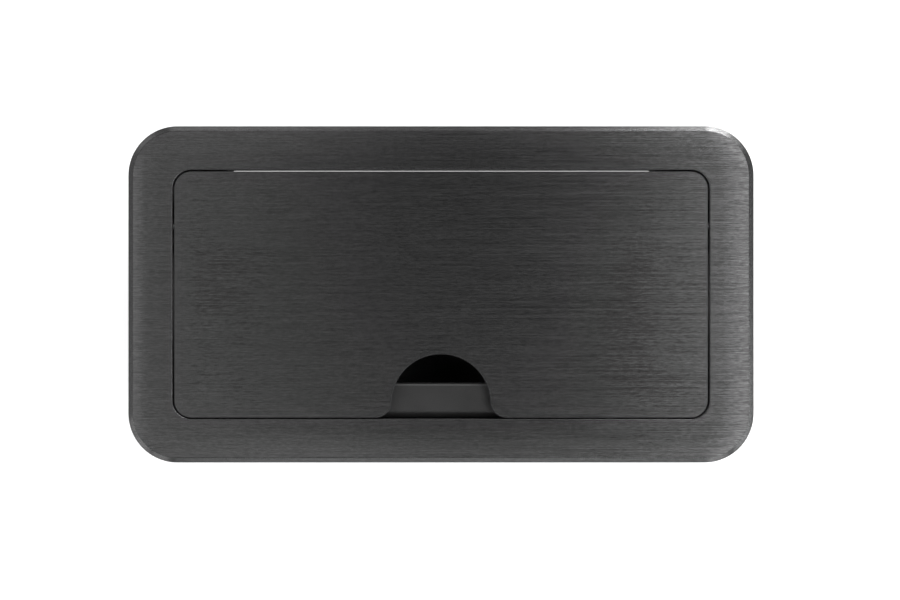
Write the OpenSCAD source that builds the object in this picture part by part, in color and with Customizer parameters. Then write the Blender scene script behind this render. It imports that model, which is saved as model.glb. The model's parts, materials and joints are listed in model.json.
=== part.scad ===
// Cable management box that sits flush in a table top.
// A bevelled frame carries a flip lid with a cable notch. A folded sheet tub hangs below
// the table, and two sliding clamps with thumb screws pull the frame down on the table.
// Axes: +X to the right, +Y to the rear, +Z up. Z = 0 is the table's top face.

/* [Frame] */
// Outer width of the frame, left to right
frame_w = 280; // [262:1:330]
// Outer depth of the frame, front to rear
frame_d = 150.6; // [140:0.2:180]
// Width of the frame's border on the left and on the right
side_border = 19.9; // [18:0.1:24]
// Width of the frame's border at the front and at the rear
front_border = 19.6; // [18:0.1:24]
// Thickness of the frame plate above the table
frame_t = 3; // [2.5:0.5:5]
// Radius of the frame's outer corners
frame_corner_r = 22; // [12:1:28]
// Width of the bevel round the frame's outer edge
bevel_w = 2.2; // [0.8:0.2:2.6]
// Height of the bevel round the frame's outer edge
bevel_h = 1.5; // [0.6:0.1:1.8]
// Radius of the corners of the frame's opening
open_corner_r = 8.5; // [6:0.5:12]
// Wall thickness of the collar below the frame plate
collar_t = 5; // [4.6:0.2:7]
// Depth of the collar below the table's top face
collar_h = 14; // [14:1:20]
// Radius of the collar's outer corners
collar_corner_r = 3; // [1:0.5:5]
// Size of the small chamfer on the edges of the lid and the opening
edge_break = 0.3; // [0.2:0.1:0.8]

/* [Lid] */
// Gap between the lid and the frame on the left and on the right
side_gap = 0.7; // [0.6:0.1:2]
// Gap between the lid and the frame at the rear
rear_gap = 0.7; // [0.7:0.1:2]
// Gap between the lid and the frame at the front
front_gap = 0.5; // [0.4:0.1:2]
// Thickness of the lid plate
lid_t = 2.5; // [2:0.5:3.5]
// Radius of the round cable notch in the lid's front edge
notch_r = 22.1; // [14:0.1:30]
// Distance from the lid's front edge back to the centre of the notch
notch_inset = 6.3; // [0:0.1:10]
// Radius that blends the notch into the lid's front edge
notch_flare_r = 7.2; // [4:0.1:12]

/* [Hinge] */
// Distance from the lid's rear edge forward to the hinge axis
pivot_inset = 24.3; // [22:0.1:32]
// Distance from the lid's top face down to the hinge axis
pivot_drop = 5.5; // [5:0.1:5.9]
// Radius of the hinge pins
pin_r = 1.5; // [1:0.1:1.7]
// Radial running clearance between a hinge pin and its lug
pin_fit = 0.05; // [0.02:0.01:0.1]
// Length of a hinge pin inside its lug
pin_reach = 10.5; // [6:0.5:11]
// Radius of a hinge pin's head
pin_head_r = 2.4; // [2:0.1:2.6]
// Thickness of a hinge pin's head
pin_head_t = 1; // [0.6:0.1:1.5]
// Radius of the round barrel of a hinge lug
lug_r = 5; // [4:0.5:6]
// Length of a lug's barrel along the hinge axis
lug_l = 11.5; // [9:0.5:16]
// Thickness of a lug's foot, which is fixed under the lid
foot_t = 3; // [2:0.5:4]
// Length of a lug's foot inboard of its barrel
foot_l = 12; // [10:1:20]
// Reach of a lug's foot in front of the hinge axis
foot_front = 8; // [5:0.5:8]
// Reach of a lug's foot behind the hinge axis
foot_rear = 14; // [12:1:20]
// Distance between the two studs that hold a lug's foot
stud_pitch = 12; // [9:0.5:13]
// Distance from the hinge axis to the centre of the round end of a lug's tail
tail_l = 11; // [10:0.5:13]
// Radius of the round end of a lug's tail, half of the tail's width
tail_r = 3; // [2:0.5:3.5]
// Direction of a lug's tail with the lid closed, in degrees below the rear
tail_angle = 35; // [30:1:45]
// Angle that the lid opens to
open_angle = 100; // [95:1:105]
// Radius of the stop pins
stop_r = 2; // [1.5:0.1:2.2]
// Distance from the hinge axis to the axis of a stop pin
stop_distance = 11; // [10.9:0.1:12]
// Length of a stop pin inside the opening
stop_reach = 7.5; // [6:0.5:9]

/* [Tub] */
// Depth from the table's top face to the underside of the tub's floor
tub_depth = 77; // [76:1:120]
// Thickness of the tub's sheet
sheet_t = 1.2; // [0.8:0.1:1.5]
// Inside bend radius of the tub's sheet
bend_r = 1.2; // [0.6:0.1:2.5]
// Gap between the collar and the tub around it
tub_gap = 0.2; // [0.1:0.05:0.4]
// Distance from the table's top face down to the tub's top edge
tub_top = 2.5; // [2.2:0.1:4]
// Length of the end plates' side flanges
flange_l = 12; // [10:1:20]
// Distance from the table's top face down to the screws that fix the tub to the collar
tub_screw_drop = 8; // [6:0.5:9]
// Distance from each end of the collar's long sides to the nearest tub screw
tub_screw_inset = 25; // [15:1:60]
// Distance from each corner of the collar to the nearest tub screw in its short sides
end_screw_inset = 18.8; // [14:0.2:40]
// Distance from the top of a side flange down to its upper rivet
upper_rivet_inset = 10; // [6:0.5:16]
// Distance from the tub's floor up to a side flange's lower rivet
lower_rivet_inset = 18; // [10:0.5:24]

/* [Cable outlets] */
// Length of a cable outlet in the floor
outlet_l = 70; // [54:1:80]
// Width of a cable outlet in the floor
outlet_w = 44; // [24:1:50]
// Distance between the centres of the two cable outlets
outlet_spacing = 124; // [100:1:130]
// Width of a grommet's lips over the floor
grommet_lip = 3; // [2:0.5:5]
// Thickness of a grommet's lips
grommet_t = 1.2; // [0.8:0.1:2]
// Thickness of a grommet's wall inside the outlet
grommet_wall = 2; // [1:0.5:3]
// Length of the cable exit slot along the rear of the floor
exit_l = 198; // [120:1:210]
// Width of the cable exit slot
exit_w = 11; // [8:0.5:14]
// Radius of the corners of the cable exit slot
exit_corner_r = 3; // [1:0.5:4]
// Width of the floor's flat that is left between the exit slot and the rear bend
exit_edge = 1.2; // [1:0.1:3]

/* [Ledge] */
// Depth of the front ledge, front to rear
ledge_d = 16; // [14:0.5:20]
// Distance from the frame's top face down to the ledge
ledge_drop = 8; // [7:0.5:8.5]
// Outer radius of the ledge's front bend
ledge_front_r = 3.6; // [2:0.1:3.6]
// Outer radius of the ledge's rear bend
ledge_rear_r = 1.6; // [1.6:0.1:3]
// Height of the ledge's front leg, which is screwed to the collar
ledge_leg = 11; // [10:0.5:12]
// Height of the lip along the ledge's rear edge
ledge_lip = 5; // [3:0.5:9]
// Number of screws that fix the ledge to the collar
ledge_screw_count = 4; // [2:1:6]
// Distance from the middle to each lid bumper
bumper_x = 90; // [60:1:95]
// Radius of a lid bumper
bumper_r = 4; // [3:0.5:5]

/* [Lacing bar] */
// Length of the lacing bar between its legs
lacing_l = 198; // [120:1:198]
// Height of the lacing bar's strip
lacing_h = 12; // [9:0.5:16]
// Thickness of the lacing bar's strip
lacing_t = 1.5; // [1:0.1:2]
// Distance from the tub's rear wall to the back of the bar
lacing_stand = 14; // [8:0.5:18]
// Distance from the tub's floor up to the middle of the bar
lacing_z = 14; // [10:0.5:26]
// Number of pairs of cable tie notches in the bar's edges
lacing_notches = 9; // [3:1:12]
// Width of a cable tie notch
tie_notch_w = 3.5; // [2.5:0.5:5]
// Depth of a cable tie notch
tie_notch_h = 2; // [1:0.5:3]

/* [Clamps] */
// Table thickness that the clamps are set to
table_t = 25; // [20:0.5:27]
// Travel of a clamp up from that setting
clamp_up = 13; // [6:0.5:14]
// Travel of a clamp down from that setting
clamp_down = 10; // [4:0.5:12]
// Width of a clamp
clamp_w = 30; // [22:1:40]
// Thickness of a clamp's sheet
clamp_t = 1.5; // [1:0.1:2]
// Reach of a clamp outward from the tub's end
clamp_reach = 10.6; // [9:0.1:12]
// Thickness of a clamp's pad
pad_t = 2; // [1:0.5:3]
// Radius of a thumb screw's shank
screw_r = 2.5; // [2:0.1:3]
// Radius of a thumb screw's knurled head
knob_r = 7; // [6:0.5:8]
// Thickness of a thumb screw's knurled head
knob_t = 8; // [5:0.5:8.5]
// Radius of a clamp's washer
washer_r = 6; // [5:0.5:7]
// Thickness of a clamp's washer
washer_t = 1; // [0.5:0.1:1.5]
// Length of a clamp's nut, inside the tub's end plate
clamp_nut_t = 4; // [3:0.5:6]
// Distance from the tub's floor up to the lower end of a clamp's guide ribs
rib_inset = 4; // [2:0.5:10]

/* [Fasteners] */
// Radius of the small screws and studs
m3_r = 1.5; // [1.2:0.1:1.6]
// Radius of a small screw's head
m3_head_r = 2.75; // [2.4:0.05:2.9]
// Thickness of a small screw's head
m3_head_t = 1.8; // [1:0.1:2.2]
// Length of thread that a small screw has in the collar
m3_bite = 3.6; // [2:0.2:4]
// Radius of the rivets
rivet_r = 1.6; // [1.2:0.1:2]
// Radius of a rivet's head
rivet_head_r = 3.2; // [2.6:0.1:3.6]

/* [Hidden] */
$fn = 96;

// Amount by which a cut runs past the face it cuts
past = 1;
// Radial gap of a pressed or seated piece in its hole
press_gap = 0.01;
// Radial gap of a small screw in the collar's thread
thread_gap = 0.05;
// Radial gap of a screw, stud or rivet in a punched hole
hole_gap = 0.15;
// Gap between two faces that rest on each other on different bodies
seat_gap = 0.05;

// Opening of the frame, collar and tub, all centred on the origin
open_w = frame_w - 2 * side_border;
open_d = frame_d - 2 * front_border;
collar_w = open_w + 2 * collar_t;
collar_d = open_d + 2 * collar_t;
tub_in_w = collar_w + 2 * tub_gap;
tub_in_d = collar_d + 2 * tub_gap;
tub_out_w = tub_in_w + 2 * sheet_t;
tub_out_d = tub_in_d + 2 * sheet_t;
end_in = tub_in_w / 2;
end_out = tub_out_w / 2;
floor_z = -tub_depth;
floor_top = floor_z + sheet_t;
bend_out = bend_r + sheet_t;
exit_y = tub_out_d / 2 - bend_out - exit_edge - exit_w / 2;

// Lid, with its top face flush with the frame's
lid_w = open_w - 2 * side_gap;
lid_d = open_d - front_gap - rear_gap;
lid_front = -open_d / 2 + front_gap;
lid_rear = open_d / 2 - rear_gap;
lid_y = (lid_front + lid_rear) / 2;
lid_z = frame_t - lid_t;
lid_corner_r = open_corner_r - side_gap;
notch_y = lid_front + notch_inset;
flare_y = lid_front + notch_flare_r;
flare_x = sqrt(pow(notch_r + notch_flare_r, 2) - pow(flare_y - notch_y, 2));
flare_share = notch_r / (notch_r + notch_flare_r);

// Hinge, lugs and stops
pivot_y = lid_rear - pivot_inset;
pivot_z = frame_t - pivot_drop;
lug_out = lid_w / 2;
lug_in = lug_out - lug_l;
foot_in = lug_in - foot_l;
foot_y = pivot_y + (foot_rear - foot_front) / 2;
stud_x = (foot_in + lug_in) / 2;
stud_ys = [foot_y - stud_pitch / 2, foot_y + stud_pitch / 2];
nut_r = m3_r * 2.1;
nut_t = m3_r * 1.6;
stud_tail = 0.8;
stud_end = lid_z - foot_t - nut_t - stud_tail;
contact_lead = asin((stop_r + tail_r + seat_gap) / stop_distance);
stop_angle = -tail_angle - open_angle - contact_lead;
stop_y = pivot_y + stop_distance * cos(stop_angle);
stop_z = pivot_z + stop_distance * sin(stop_angle);
stop_bite = collar_t - 0.4;

// Small screws and rivets
tub_screw_x = collar_w / 2 - tub_screw_inset;
tub_screw_y = collar_d / 2 - end_screw_inset;
tub_screw_z = -tub_screw_drop;
m3_drive_r = m3_r * 0.72;
rivet_head_t = rivet_r * 0.56;
rivet_tail_r = rivet_r * 1.4;
rivet_tail_t = rivet_r * 0.9;
rivet_x = end_in - flange_l / 2;
flange_top = -collar_h - 1;
rivet_zs = [flange_top - upper_rivet_inset, floor_top + lower_rivet_inset];

// Ledge and bumpers
ledge_z = frame_t - ledge_drop;
ledge_l = open_w - 2 * open_corner_r - 1;
ledge_front = -open_d / 2;
ledge_rear = ledge_front + ledge_d;
ledge_foot = ledge_z - ledge_leg;
ledge_screw_z = ledge_z - ledge_front_r - m3_head_r - seat_gap;
ledge_screw_pitch = ledge_l / ledge_screw_count;
bumper_y = (ledge_front + ledge_rear) / 2;
bumper_top = lid_z - seat_gap;
bumper_stem_r = bumper_r / 2;
bumper_plug_t = 1.6;

// Lacing bar
bar_back = tub_in_d / 2 - lacing_stand;
bar_z = floor_top + lacing_z;
lacing_foot_l = 12;
lacing_foot_x = lacing_l / 2 + lacing_t + lacing_foot_l / 2;
tie_pitch = lacing_l / lacing_notches;

// Clamps
clamp_x = end_out + 0.2;
clamp_ear_x = end_out + clamp_reach;
slot_gap = 0.2;
slot_r = screw_r + slot_gap;
slot_end = 4;
knob_gap = 1;
ear_top = -table_t - pad_t;
clamp_bend_out = clamp_t + 1;
screw_z = ear_top - clamp_t - clamp_down - knob_r - knob_gap;
leg_foot = screw_z - clamp_up - slot_r - slot_end;
pad_w = clamp_w - 2;
pad_in = clamp_x + clamp_bend_out;
washer_x = clamp_x + clamp_t + seat_gap;
knob_x = washer_x + washer_t;
clamp_nut_r = screw_r * 1.85;
spigot_r = screw_r + 0.9;
screw_tip = end_in - clamp_nut_t - 2.6;
rib_gap = 0.3;
rib_w = 2;
rib_h = 1.5;
rib_top = ear_top - clamp_up;
rib_foot = floor_top + rib_inset;
knurl_count = 24;
knurl_r = 0.6;
knob_break = 0.8;
knob_core_r = knob_r - knurl_r;

// ---- helpers ----

// Extrudes a profile drawn in Y and Z along X, from x0 to x1.
module run_x(x0, x1) {
    translate([x0, 0, 0])
        rotate([90, 0, 90])
            linear_extrude(x1 - x0) children();
}

// Extrudes a profile drawn in X and Z along Y, from y0 to y1.
module run_y(y0, y1) {
    translate([0, y1, 0])
        rotate([90, 0, 0])
            linear_extrude(y1 - y0) children();
}

// Round rod along X.
module rod_x(x0, x1, y, z, r) {
    translate([x0, y, z])
        rotate([0, 90, 0])
            cylinder(r = r, h = x1 - x0);
}

// Rectangle with round corners, centred.
module rounded_rect(w, d, r) {
    square([w - 2 * r, d], center = true);
    square([w, d - 2 * r], center = true);
    for (x = [-1, 1])
        for (y = [-1, 1])
            translate([x * (w / 2 - r), y * (d / 2 - r)])
                circle(r);
}

// Rectangle with its own radius at each corner, from lower left round to upper left.
module soft_box(x0, y0, x1, y1, r) {
    polygon([
        [x0 + r[0], y0], [x1 - r[1], y0], [x1, y0 + r[1]], [x1, y1 - r[2]],
        [x1 - r[2], y1], [x0 + r[3], y1], [x0, y1 - r[3]], [x0, y0 + r[0]]
    ]);
    if (r[0] > 0)
        translate([x0 + r[0], y0 + r[0]]) circle(r[0]);
    if (r[1] > 0)
        translate([x1 - r[1], y0 + r[1]]) circle(r[1]);
    if (r[2] > 0)
        translate([x1 - r[2], y1 - r[2]]) circle(r[2]);
    if (r[3] > 0)
        translate([x0 + r[3], y1 - r[3]]) circle(r[3]);
}

// Slab with round corners whose sides lean outward by grow over its height.
module leaning_slab(w, d, r, grow, h) {
    run_x(r - w / 2, w / 2 - r)
        polygon([[-d / 2, 0], [d / 2, 0], [d / 2 + grow, h], [-d / 2 - grow, h]]);
    run_y(r - d / 2, d / 2 - r)
        polygon([[-w / 2, 0], [w / 2, 0], [w / 2 + grow, h], [-w / 2 - grow, h]]);
    for (x = [-1, 1])
        for (y = [-1, 1])
            translate([x * (w / 2 - r), y * (d / 2 - r), 0])
                cylinder(r1 = r, r2 = r + grow, h = h);
}

// Flat plate with round corners and a chamfered top edge.
module bevelled_plate(w, d, r, t, edge_w, edge_h) {
    linear_extrude(t - edge_h) rounded_rect(w, d, r);
    translate([0, 0, t - edge_h])
        leaning_slab(w, d, r, -edge_w, edge_h);
}

// Slot with round ends along Z, cut through X from x0 to x1.
module upright_slot(x0, x1, z0, z1, r) {
    rod_x(x0, x1, 0, z0, r);
    rod_x(x0, x1, 0, z1, r);
    translate([x0, -r, z0])
        cube([x1 - x0, 2 * r, z1 - z0]);
}

// Places its child on the tub's outside at each screw into the collar, with +Z outward.
module at_tub_screws() {
    for (x = [-tub_screw_x, 0, tub_screw_x]) {
        translate([x, tub_out_d / 2, tub_screw_z])
            rotate([-90, 0, 0]) children();
        translate([x, -tub_out_d / 2, tub_screw_z])
            rotate([90, 0, 0]) children();
    }
    for (y = [-tub_screw_y, tub_screw_y]) {
        translate([end_out, y, tub_screw_z])
            rotate([0, 90, 0]) children();
        translate([-end_out, y, tub_screw_z])
            rotate([0, -90, 0]) children();
    }
}

// Places its child on the tub's outside at each rivet into an end plate, with +Z outward.
module at_corner_rivets() {
    for (x = [-rivet_x, rivet_x])
        for (z = rivet_zs) {
            translate([x, tub_out_d / 2, z])
                rotate([-90, 0, 0]) children();
            translate([x, -tub_out_d / 2, z])
                rotate([90, 0, 0]) children();
        }
}

// Places its child on the tub's rear wall at each rivet into the lacing bar, with +Z outward.
module at_bar_rivets() {
    for (x = [-lacing_foot_x, lacing_foot_x])
        translate([x, tub_out_d / 2, bar_z])
            rotate([-90, 0, 0]) children();
}

// Places its child on the ledge leg's inner face at each screw, with +Z to the rear.
module at_ledge_screws() {
    for (i = [0 : ledge_screw_count - 1])
        translate([(i - (ledge_screw_count - 1) / 2) * ledge_screw_pitch,
            ledge_front + sheet_t, ledge_screw_z])
            rotate([-90, 0, 0]) children();
}

// Places its child at each lug stud, under the lid plate.
module at_lug_studs() {
    for (x = [-stud_x, stud_x])
        for (y = stud_ys)
            translate([x, y, lid_z]) children();
}

// Hole along Z, from the given depth up past the surface.
module drill(r, depth) {
    translate([0, 0, -depth])
        cylinder(r = r, h = depth + m3_head_t + past);
}

// Small screw with a low head and a hexagon socket; its head sits on Z = 0.
module small_screw(grip) {
    rim = m3_head_t * 0.4;
    difference() {
        union() {
            cylinder(r = m3_head_r, h = rim);
            translate([0, 0, rim])
                cylinder(r1 = m3_head_r, r2 = m3_head_r * 0.6, h = m3_head_t - rim);
            translate([0, 0, -grip - m3_bite])
                cylinder(r = m3_r, h = grip + m3_bite);
        }
        translate([0, 0, m3_head_t * 0.35])
            cylinder(r = m3_drive_r, h = m3_head_t, $fn = 6);
    }
}

// Blind rivet; its head sits on Z = 0.
module rivet(grip) {
    cylinder(r1 = rivet_head_r, r2 = rivet_head_r * 0.55, h = rivet_head_t);
    translate([0, 0, -grip])
        cylinder(r = rivet_r, h = grip);
    translate([0, 0, -grip - rivet_tail_t])
        cylinder(r = rivet_tail_r, h = rivet_tail_t);
}

// Outline of the cable notch, open at the lid's front edge.
module notch_outline() {
    touch_x = flare_share * flare_x;
    touch_y = notch_y + flare_share * (flare_y - notch_y);
    low_y = lid_front - past;
    translate([0, notch_y]) circle(notch_r);
    difference() {
        polygon([
            [-flare_x, low_y], [flare_x, low_y], [flare_x, flare_y], [touch_x, touch_y],
            [-touch_x, touch_y], [-flare_x, flare_y]
        ]);
        for (side = [-1, 1])
            translate([side * flare_x, flare_y]) circle(notch_flare_r);
    }
}

// Oblong outline of a cable outlet, grown or shrunk on all sides.
module outlet_outline(grow) {
    r = outlet_w / 2 + grow;
    half = (outlet_l - outlet_w) / 2;
    square([2 * half, 2 * r], center = true);
    for (x = [-half, half])
        translate([x, 0]) circle(r);
}

// ---- frame ----

module top_frame() {
    color([0.16, 0.16, 0.165])
        difference() {
            union() {
                bevelled_plate(frame_w, frame_d, frame_corner_r, frame_t, bevel_w, bevel_h);
                translate([0, 0, -collar_h])
                    linear_extrude(collar_h) rounded_rect(collar_w, collar_d, collar_corner_r);
            }
            translate([0, 0, -collar_h - past])
                linear_extrude(collar_h + frame_t + 2 * past)
                    rounded_rect(open_w, open_d, open_corner_r);
            translate([0, 0, frame_t - edge_break])
                leaning_slab(open_w, open_d, open_corner_r, 2 * edge_break, 2 * edge_break);
            at_tub_screws() drill(m3_r + thread_gap, sheet_t + tub_gap + m3_bite);
            at_ledge_screws() drill(m3_r + thread_gap, sheet_t + m3_bite);
            for (side = [0, 1])
                mirror([side, 0, 0]) {
                    rod_x(open_w / 2 - past, collar_w / 2 + past, pivot_y, pivot_z, pin_r + press_gap);
                    rod_x(collar_w / 2 - pin_head_t, collar_w / 2 + past, pivot_y, pivot_z,
                        pin_head_r + press_gap);
                    rod_x(open_w / 2 - past, open_w / 2 + stop_bite, stop_y, stop_z, stop_r + press_gap);
                }
        }
}

// ---- lid and hinge ----

module lid_plate() {
    color([0.17, 0.17, 0.175])
        difference() {
            translate([0, lid_y, lid_z])
                bevelled_plate(lid_w, lid_d, lid_corner_r, lid_t, edge_break, edge_break);
            translate([0, 0, lid_z - past])
                linear_extrude(lid_t + 2 * past) notch_outline();
        }
}

module hinge_lug() {
    color([0.07, 0.07, 0.07])
        difference() {
            union() {
                run_x(lug_in, lug_out) {
                    translate([pivot_y, pivot_z]) {
                        circle(lug_r);
                        rotate(-tail_angle) {
                            translate([0, -tail_r]) square([tail_l, 2 * tail_r]);
                            translate([tail_l, 0]) circle(tail_r);
                        }
                    }
                }
                translate([foot_in, pivot_y - foot_front, lid_z - foot_t])
                    cube([lug_out - foot_in, foot_front + foot_rear, foot_t]);
            }
            translate([foot_in - past, pivot_y - 2 * foot_rear, lid_z])
                cube([foot_l + lug_l + 2 * past, 4 * foot_rear, 2 * lug_r]);
            rod_x(lug_in - past, lug_out + past, pivot_y, pivot_z, pin_r + pin_fit);
            for (y = stud_ys)
                translate([stud_x, y, lid_z - foot_t - past])
                    cylinder(r = m3_r + hole_gap, h = foot_t + 2 * past);
        }
}

module hinge_lug_left() {
    mirror([1, 0, 0]) hinge_lug();
}

module hinge_lug_right() {
    hinge_lug();
}

module lug_studs() {
    color([0.72, 0.72, 0.74])
        at_lug_studs()
            translate([0, 0, stud_end - lid_z])
                cylinder(r = m3_r, h = lid_z - stud_end);
}

module lug_nuts() {
    color([0.72, 0.72, 0.74])
        at_lug_studs()
            translate([0, 0, -foot_t - nut_t])
                difference() {
                    cylinder(r = nut_r, h = nut_t, $fn = 6);
                    translate([0, 0, -past])
                        cylinder(r = m3_r + press_gap, h = nut_t + 2 * past);
                }
}

module hinge_pins() {
    color([0.75, 0.75, 0.77])
        for (side = [0, 1])
            mirror([side, 0, 0]) {
                rod_x(lug_out - pin_reach, collar_w / 2, pivot_y, pivot_z, pin_r);
                rod_x(collar_w / 2 - pin_head_t, collar_w / 2, pivot_y, pivot_z, pin_head_r);
            }
}

module stop_pins() {
    color([0.12, 0.12, 0.12])
        for (side = [0, 1])
            mirror([side, 0, 0])
                rod_x(open_w / 2 - stop_reach, open_w / 2 + stop_bite, stop_y, stop_z, stop_r);
}

// ---- tub ----

module tub_shell() {
    color([0.1, 0.1, 0.1])
        difference() {
            run_x(-end_in, end_in)
                difference() {
                    soft_box(-tub_out_d / 2, floor_z, tub_out_d / 2, -tub_top, [bend_out, bend_out, 0, 0]);
                    soft_box(-tub_in_d / 2, floor_top, tub_in_d / 2, past, [bend_r, bend_r, 0, 0]);
                }
            for (x = [-outlet_spacing / 2, outlet_spacing / 2])
                translate([x, 0, floor_z - past])
                    linear_extrude(sheet_t + 2 * past) outlet_outline(0);
            translate([0, exit_y, floor_z - past])
                linear_extrude(sheet_t + 2 * past) rounded_rect(exit_l, exit_w, exit_corner_r);
            at_tub_screws() drill(m3_r + hole_gap, sheet_t + tub_gap);
            at_corner_rivets() drill(rivet_r + press_gap, sheet_t + past);
            at_bar_rivets() drill(rivet_r + press_gap, sheet_t + past);
        }
}

module end_plate() {
    color([0.1, 0.1, 0.1])
        difference() {
            union() {
                run_x(end_in, end_out)
                    soft_box(-tub_out_d / 2, floor_z, tub_out_d / 2, -tub_top, [bend_out, bend_out, 0, 0]);
                for (side = [-1, 1]) {
                    translate([end_in - flange_l, side * (tub_in_d - sheet_t) / 2 - sheet_t / 2,
                        floor_top + 2 * bend_r])
                        cube([flange_l, sheet_t, flange_top - floor_top - 2 * bend_r]);
                    translate([end_out, side * (clamp_w / 2 + rib_gap + rib_w / 2) - rib_w / 2, rib_foot])
                        cube([rib_h, rib_w, rib_top - rib_foot]);
                }
            }
            at_tub_screws() drill(m3_r + hole_gap, sheet_t + tub_gap);
            at_corner_rivets() drill(rivet_r + press_gap, 2 * sheet_t + past);
            rod_x(end_in - past, end_out + past, 0, screw_z, spigot_r + press_gap);
        }
}

module end_plate_left() {
    mirror([1, 0, 0]) end_plate();
}

module end_plate_right() {
    end_plate();
}

module rivets() {
    color([0.6, 0.6, 0.62]) {
        at_corner_rivets() rivet(2 * sheet_t);
        at_bar_rivets() rivet(sheet_t + lacing_t);
    }
}

module tub_screws() {
    color([0.12, 0.12, 0.12])
        at_tub_screws() small_screw(sheet_t + tub_gap);
}

module front_ledge() {
    color([0.24, 0.24, 0.24])
        difference() {
            run_x(-ledge_l / 2, ledge_l / 2)
                difference() {
                    soft_box(ledge_front, ledge_foot, ledge_rear, ledge_z,
                        [0, 0, ledge_rear_r, ledge_front_r]);
                    soft_box(ledge_front + sheet_t, ledge_foot - past, ledge_rear - sheet_t,
                        ledge_z - sheet_t, [0, 0, ledge_rear_r - sheet_t, ledge_front_r - sheet_t]);
                    translate([ledge_rear - sheet_t - past, ledge_foot - past])
                        square([sheet_t + 2 * past, ledge_leg + past - ledge_lip]);
                }
            at_ledge_screws() drill(m3_r + hole_gap, sheet_t + past);
            for (x = [-bumper_x, bumper_x])
                translate([x, bumper_y, ledge_z - sheet_t - past])
                    cylinder(r = bumper_stem_r + press_gap, h = sheet_t + 2 * past);
        }
}

module ledge_screws() {
    color([0.12, 0.12, 0.12])
        at_ledge_screws() small_screw(sheet_t);
}

module lid_bumpers() {
    color([0.08, 0.08, 0.08])
        for (x = [-bumper_x, bumper_x])
            translate([x, bumper_y, 0]) {
                translate([0, 0, ledge_z])
                    cylinder(r1 = bumper_r, r2 = bumper_r * 0.8, h = bumper_top - ledge_z);
                translate([0, 0, ledge_z - sheet_t])
                    cylinder(r = bumper_stem_r, h = sheet_t);
                translate([0, 0, ledge_z - sheet_t - bumper_plug_t])
                    cylinder(r1 = bumper_stem_r, r2 = bumper_r * 0.7, h = bumper_plug_t);
            }
}

module lacing_bar() {
    bar_low = bar_z - lacing_h / 2;
    wall_y = tub_in_d / 2;
    color([0.1, 0.1, 0.1])
        difference() {
            union() {
                translate([-lacing_l / 2 - lacing_t, bar_back - lacing_t, bar_low])
                    cube([lacing_l + 2 * lacing_t, lacing_t, lacing_h]);
                for (side = [0, 1])
                    mirror([side, 0, 0]) {
                        translate([lacing_l / 2, bar_back - lacing_t, bar_low])
                            cube([lacing_t, wall_y - bar_back + lacing_t, lacing_h]);
                        translate([lacing_l / 2, wall_y - lacing_t, bar_low])
                            cube([lacing_t + lacing_foot_l, lacing_t, lacing_h]);
                    }
            }
            for (i = [0 : lacing_notches - 1])
                for (edge = [-1, 1])
                    translate([(i - (lacing_notches - 1) / 2) * tie_pitch, bar_back - lacing_t / 2,
                        bar_z + edge * lacing_h / 2])
                        cube([tie_notch_w, lacing_t + 2 * past, 2 * tie_notch_h], center = true);
            at_bar_rivets() drill(rivet_r + press_gap, sheet_t + lacing_t + past);
        }
}

module grommet() {
    color([0.06, 0.06, 0.06])
        difference() {
            union() {
                translate([0, 0, floor_z - grommet_t])
                    linear_extrude(grommet_t) outlet_outline(grommet_lip);
                translate([0, 0, floor_z])
                    linear_extrude(sheet_t) outlet_outline(-press_gap);
                translate([0, 0, floor_top])
                    linear_extrude(grommet_t) outlet_outline(grommet_lip);
            }
            translate([0, 0, floor_z - grommet_t - past])
                linear_extrude(sheet_t + 2 * grommet_t + 2 * past) outlet_outline(-grommet_wall);
        }
}

module grommet_left() {
    translate([-outlet_spacing / 2, 0, 0]) grommet();
}

module grommet_right() {
    translate([outlet_spacing / 2, 0, 0]) grommet();
}

// ---- clamps ----

// Outline of a thumb screw's head, with grip flutes all round.
module knurl_outline() {
    difference() {
        circle(knob_r);
        for (i = [0 : knurl_count - 1])
            rotate(i * 360 / knurl_count)
                translate([knob_r, 0]) circle(knurl_r);
    }
}

module clamp_nut() {
    color([0.75, 0.72, 0.62])
        difference() {
            union() {
                translate([end_in - clamp_nut_t, 0, screw_z])
                    rotate([0, 90, 0])
                        cylinder(r = clamp_nut_r, h = clamp_nut_t, $fn = 6);
                rod_x(end_in - past, end_out, 0, screw_z, spigot_r);
            }
            rod_x(end_in - clamp_nut_t - past, end_out + past, 0, screw_z, screw_r + pin_fit);
        }
}

module clamp_nut_left() {
    mirror([1, 0, 0]) clamp_nut();
}

module clamp_nut_right() {
    clamp_nut();
}

module clamp_bracket() {
    color([0.1, 0.1, 0.1])
        difference() {
            run_y(-clamp_w / 2, clamp_w / 2)
                difference() {
                    soft_box(clamp_x, leg_foot, clamp_ear_x, ear_top, [0, 0, 0, clamp_bend_out]);
                    soft_box(clamp_x + clamp_t, leg_foot - past, clamp_ear_x + past, ear_top - clamp_t,
                        [0, 0, 0, clamp_bend_out - clamp_t]);
                }
            upright_slot(clamp_x - past, clamp_x + clamp_t + past, screw_z - clamp_up,
                screw_z + clamp_down, slot_r);
        }
}

module clamp_bracket_left() {
    mirror([1, 0, 0]) clamp_bracket();
}

module clamp_bracket_right() {
    clamp_bracket();
}

module clamp_pad() {
    color([0.06, 0.06, 0.06])
        translate([(pad_in + clamp_ear_x) / 2, 0, ear_top])
            linear_extrude(pad_t) rounded_rect(clamp_ear_x - pad_in, pad_w, 1);
}

module clamp_pad_left() {
    mirror([1, 0, 0]) clamp_pad();
}

module clamp_pad_right() {
    clamp_pad();
}

module clamp_washer() {
    color([0.72, 0.72, 0.74])
        difference() {
            rod_x(washer_x, washer_x + washer_t, 0, screw_z, washer_r);
            rod_x(washer_x - past, washer_x + washer_t + past, 0, screw_z, slot_r);
        }
}

module clamp_washer_left() {
    mirror([1, 0, 0]) clamp_washer();
}

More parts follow.
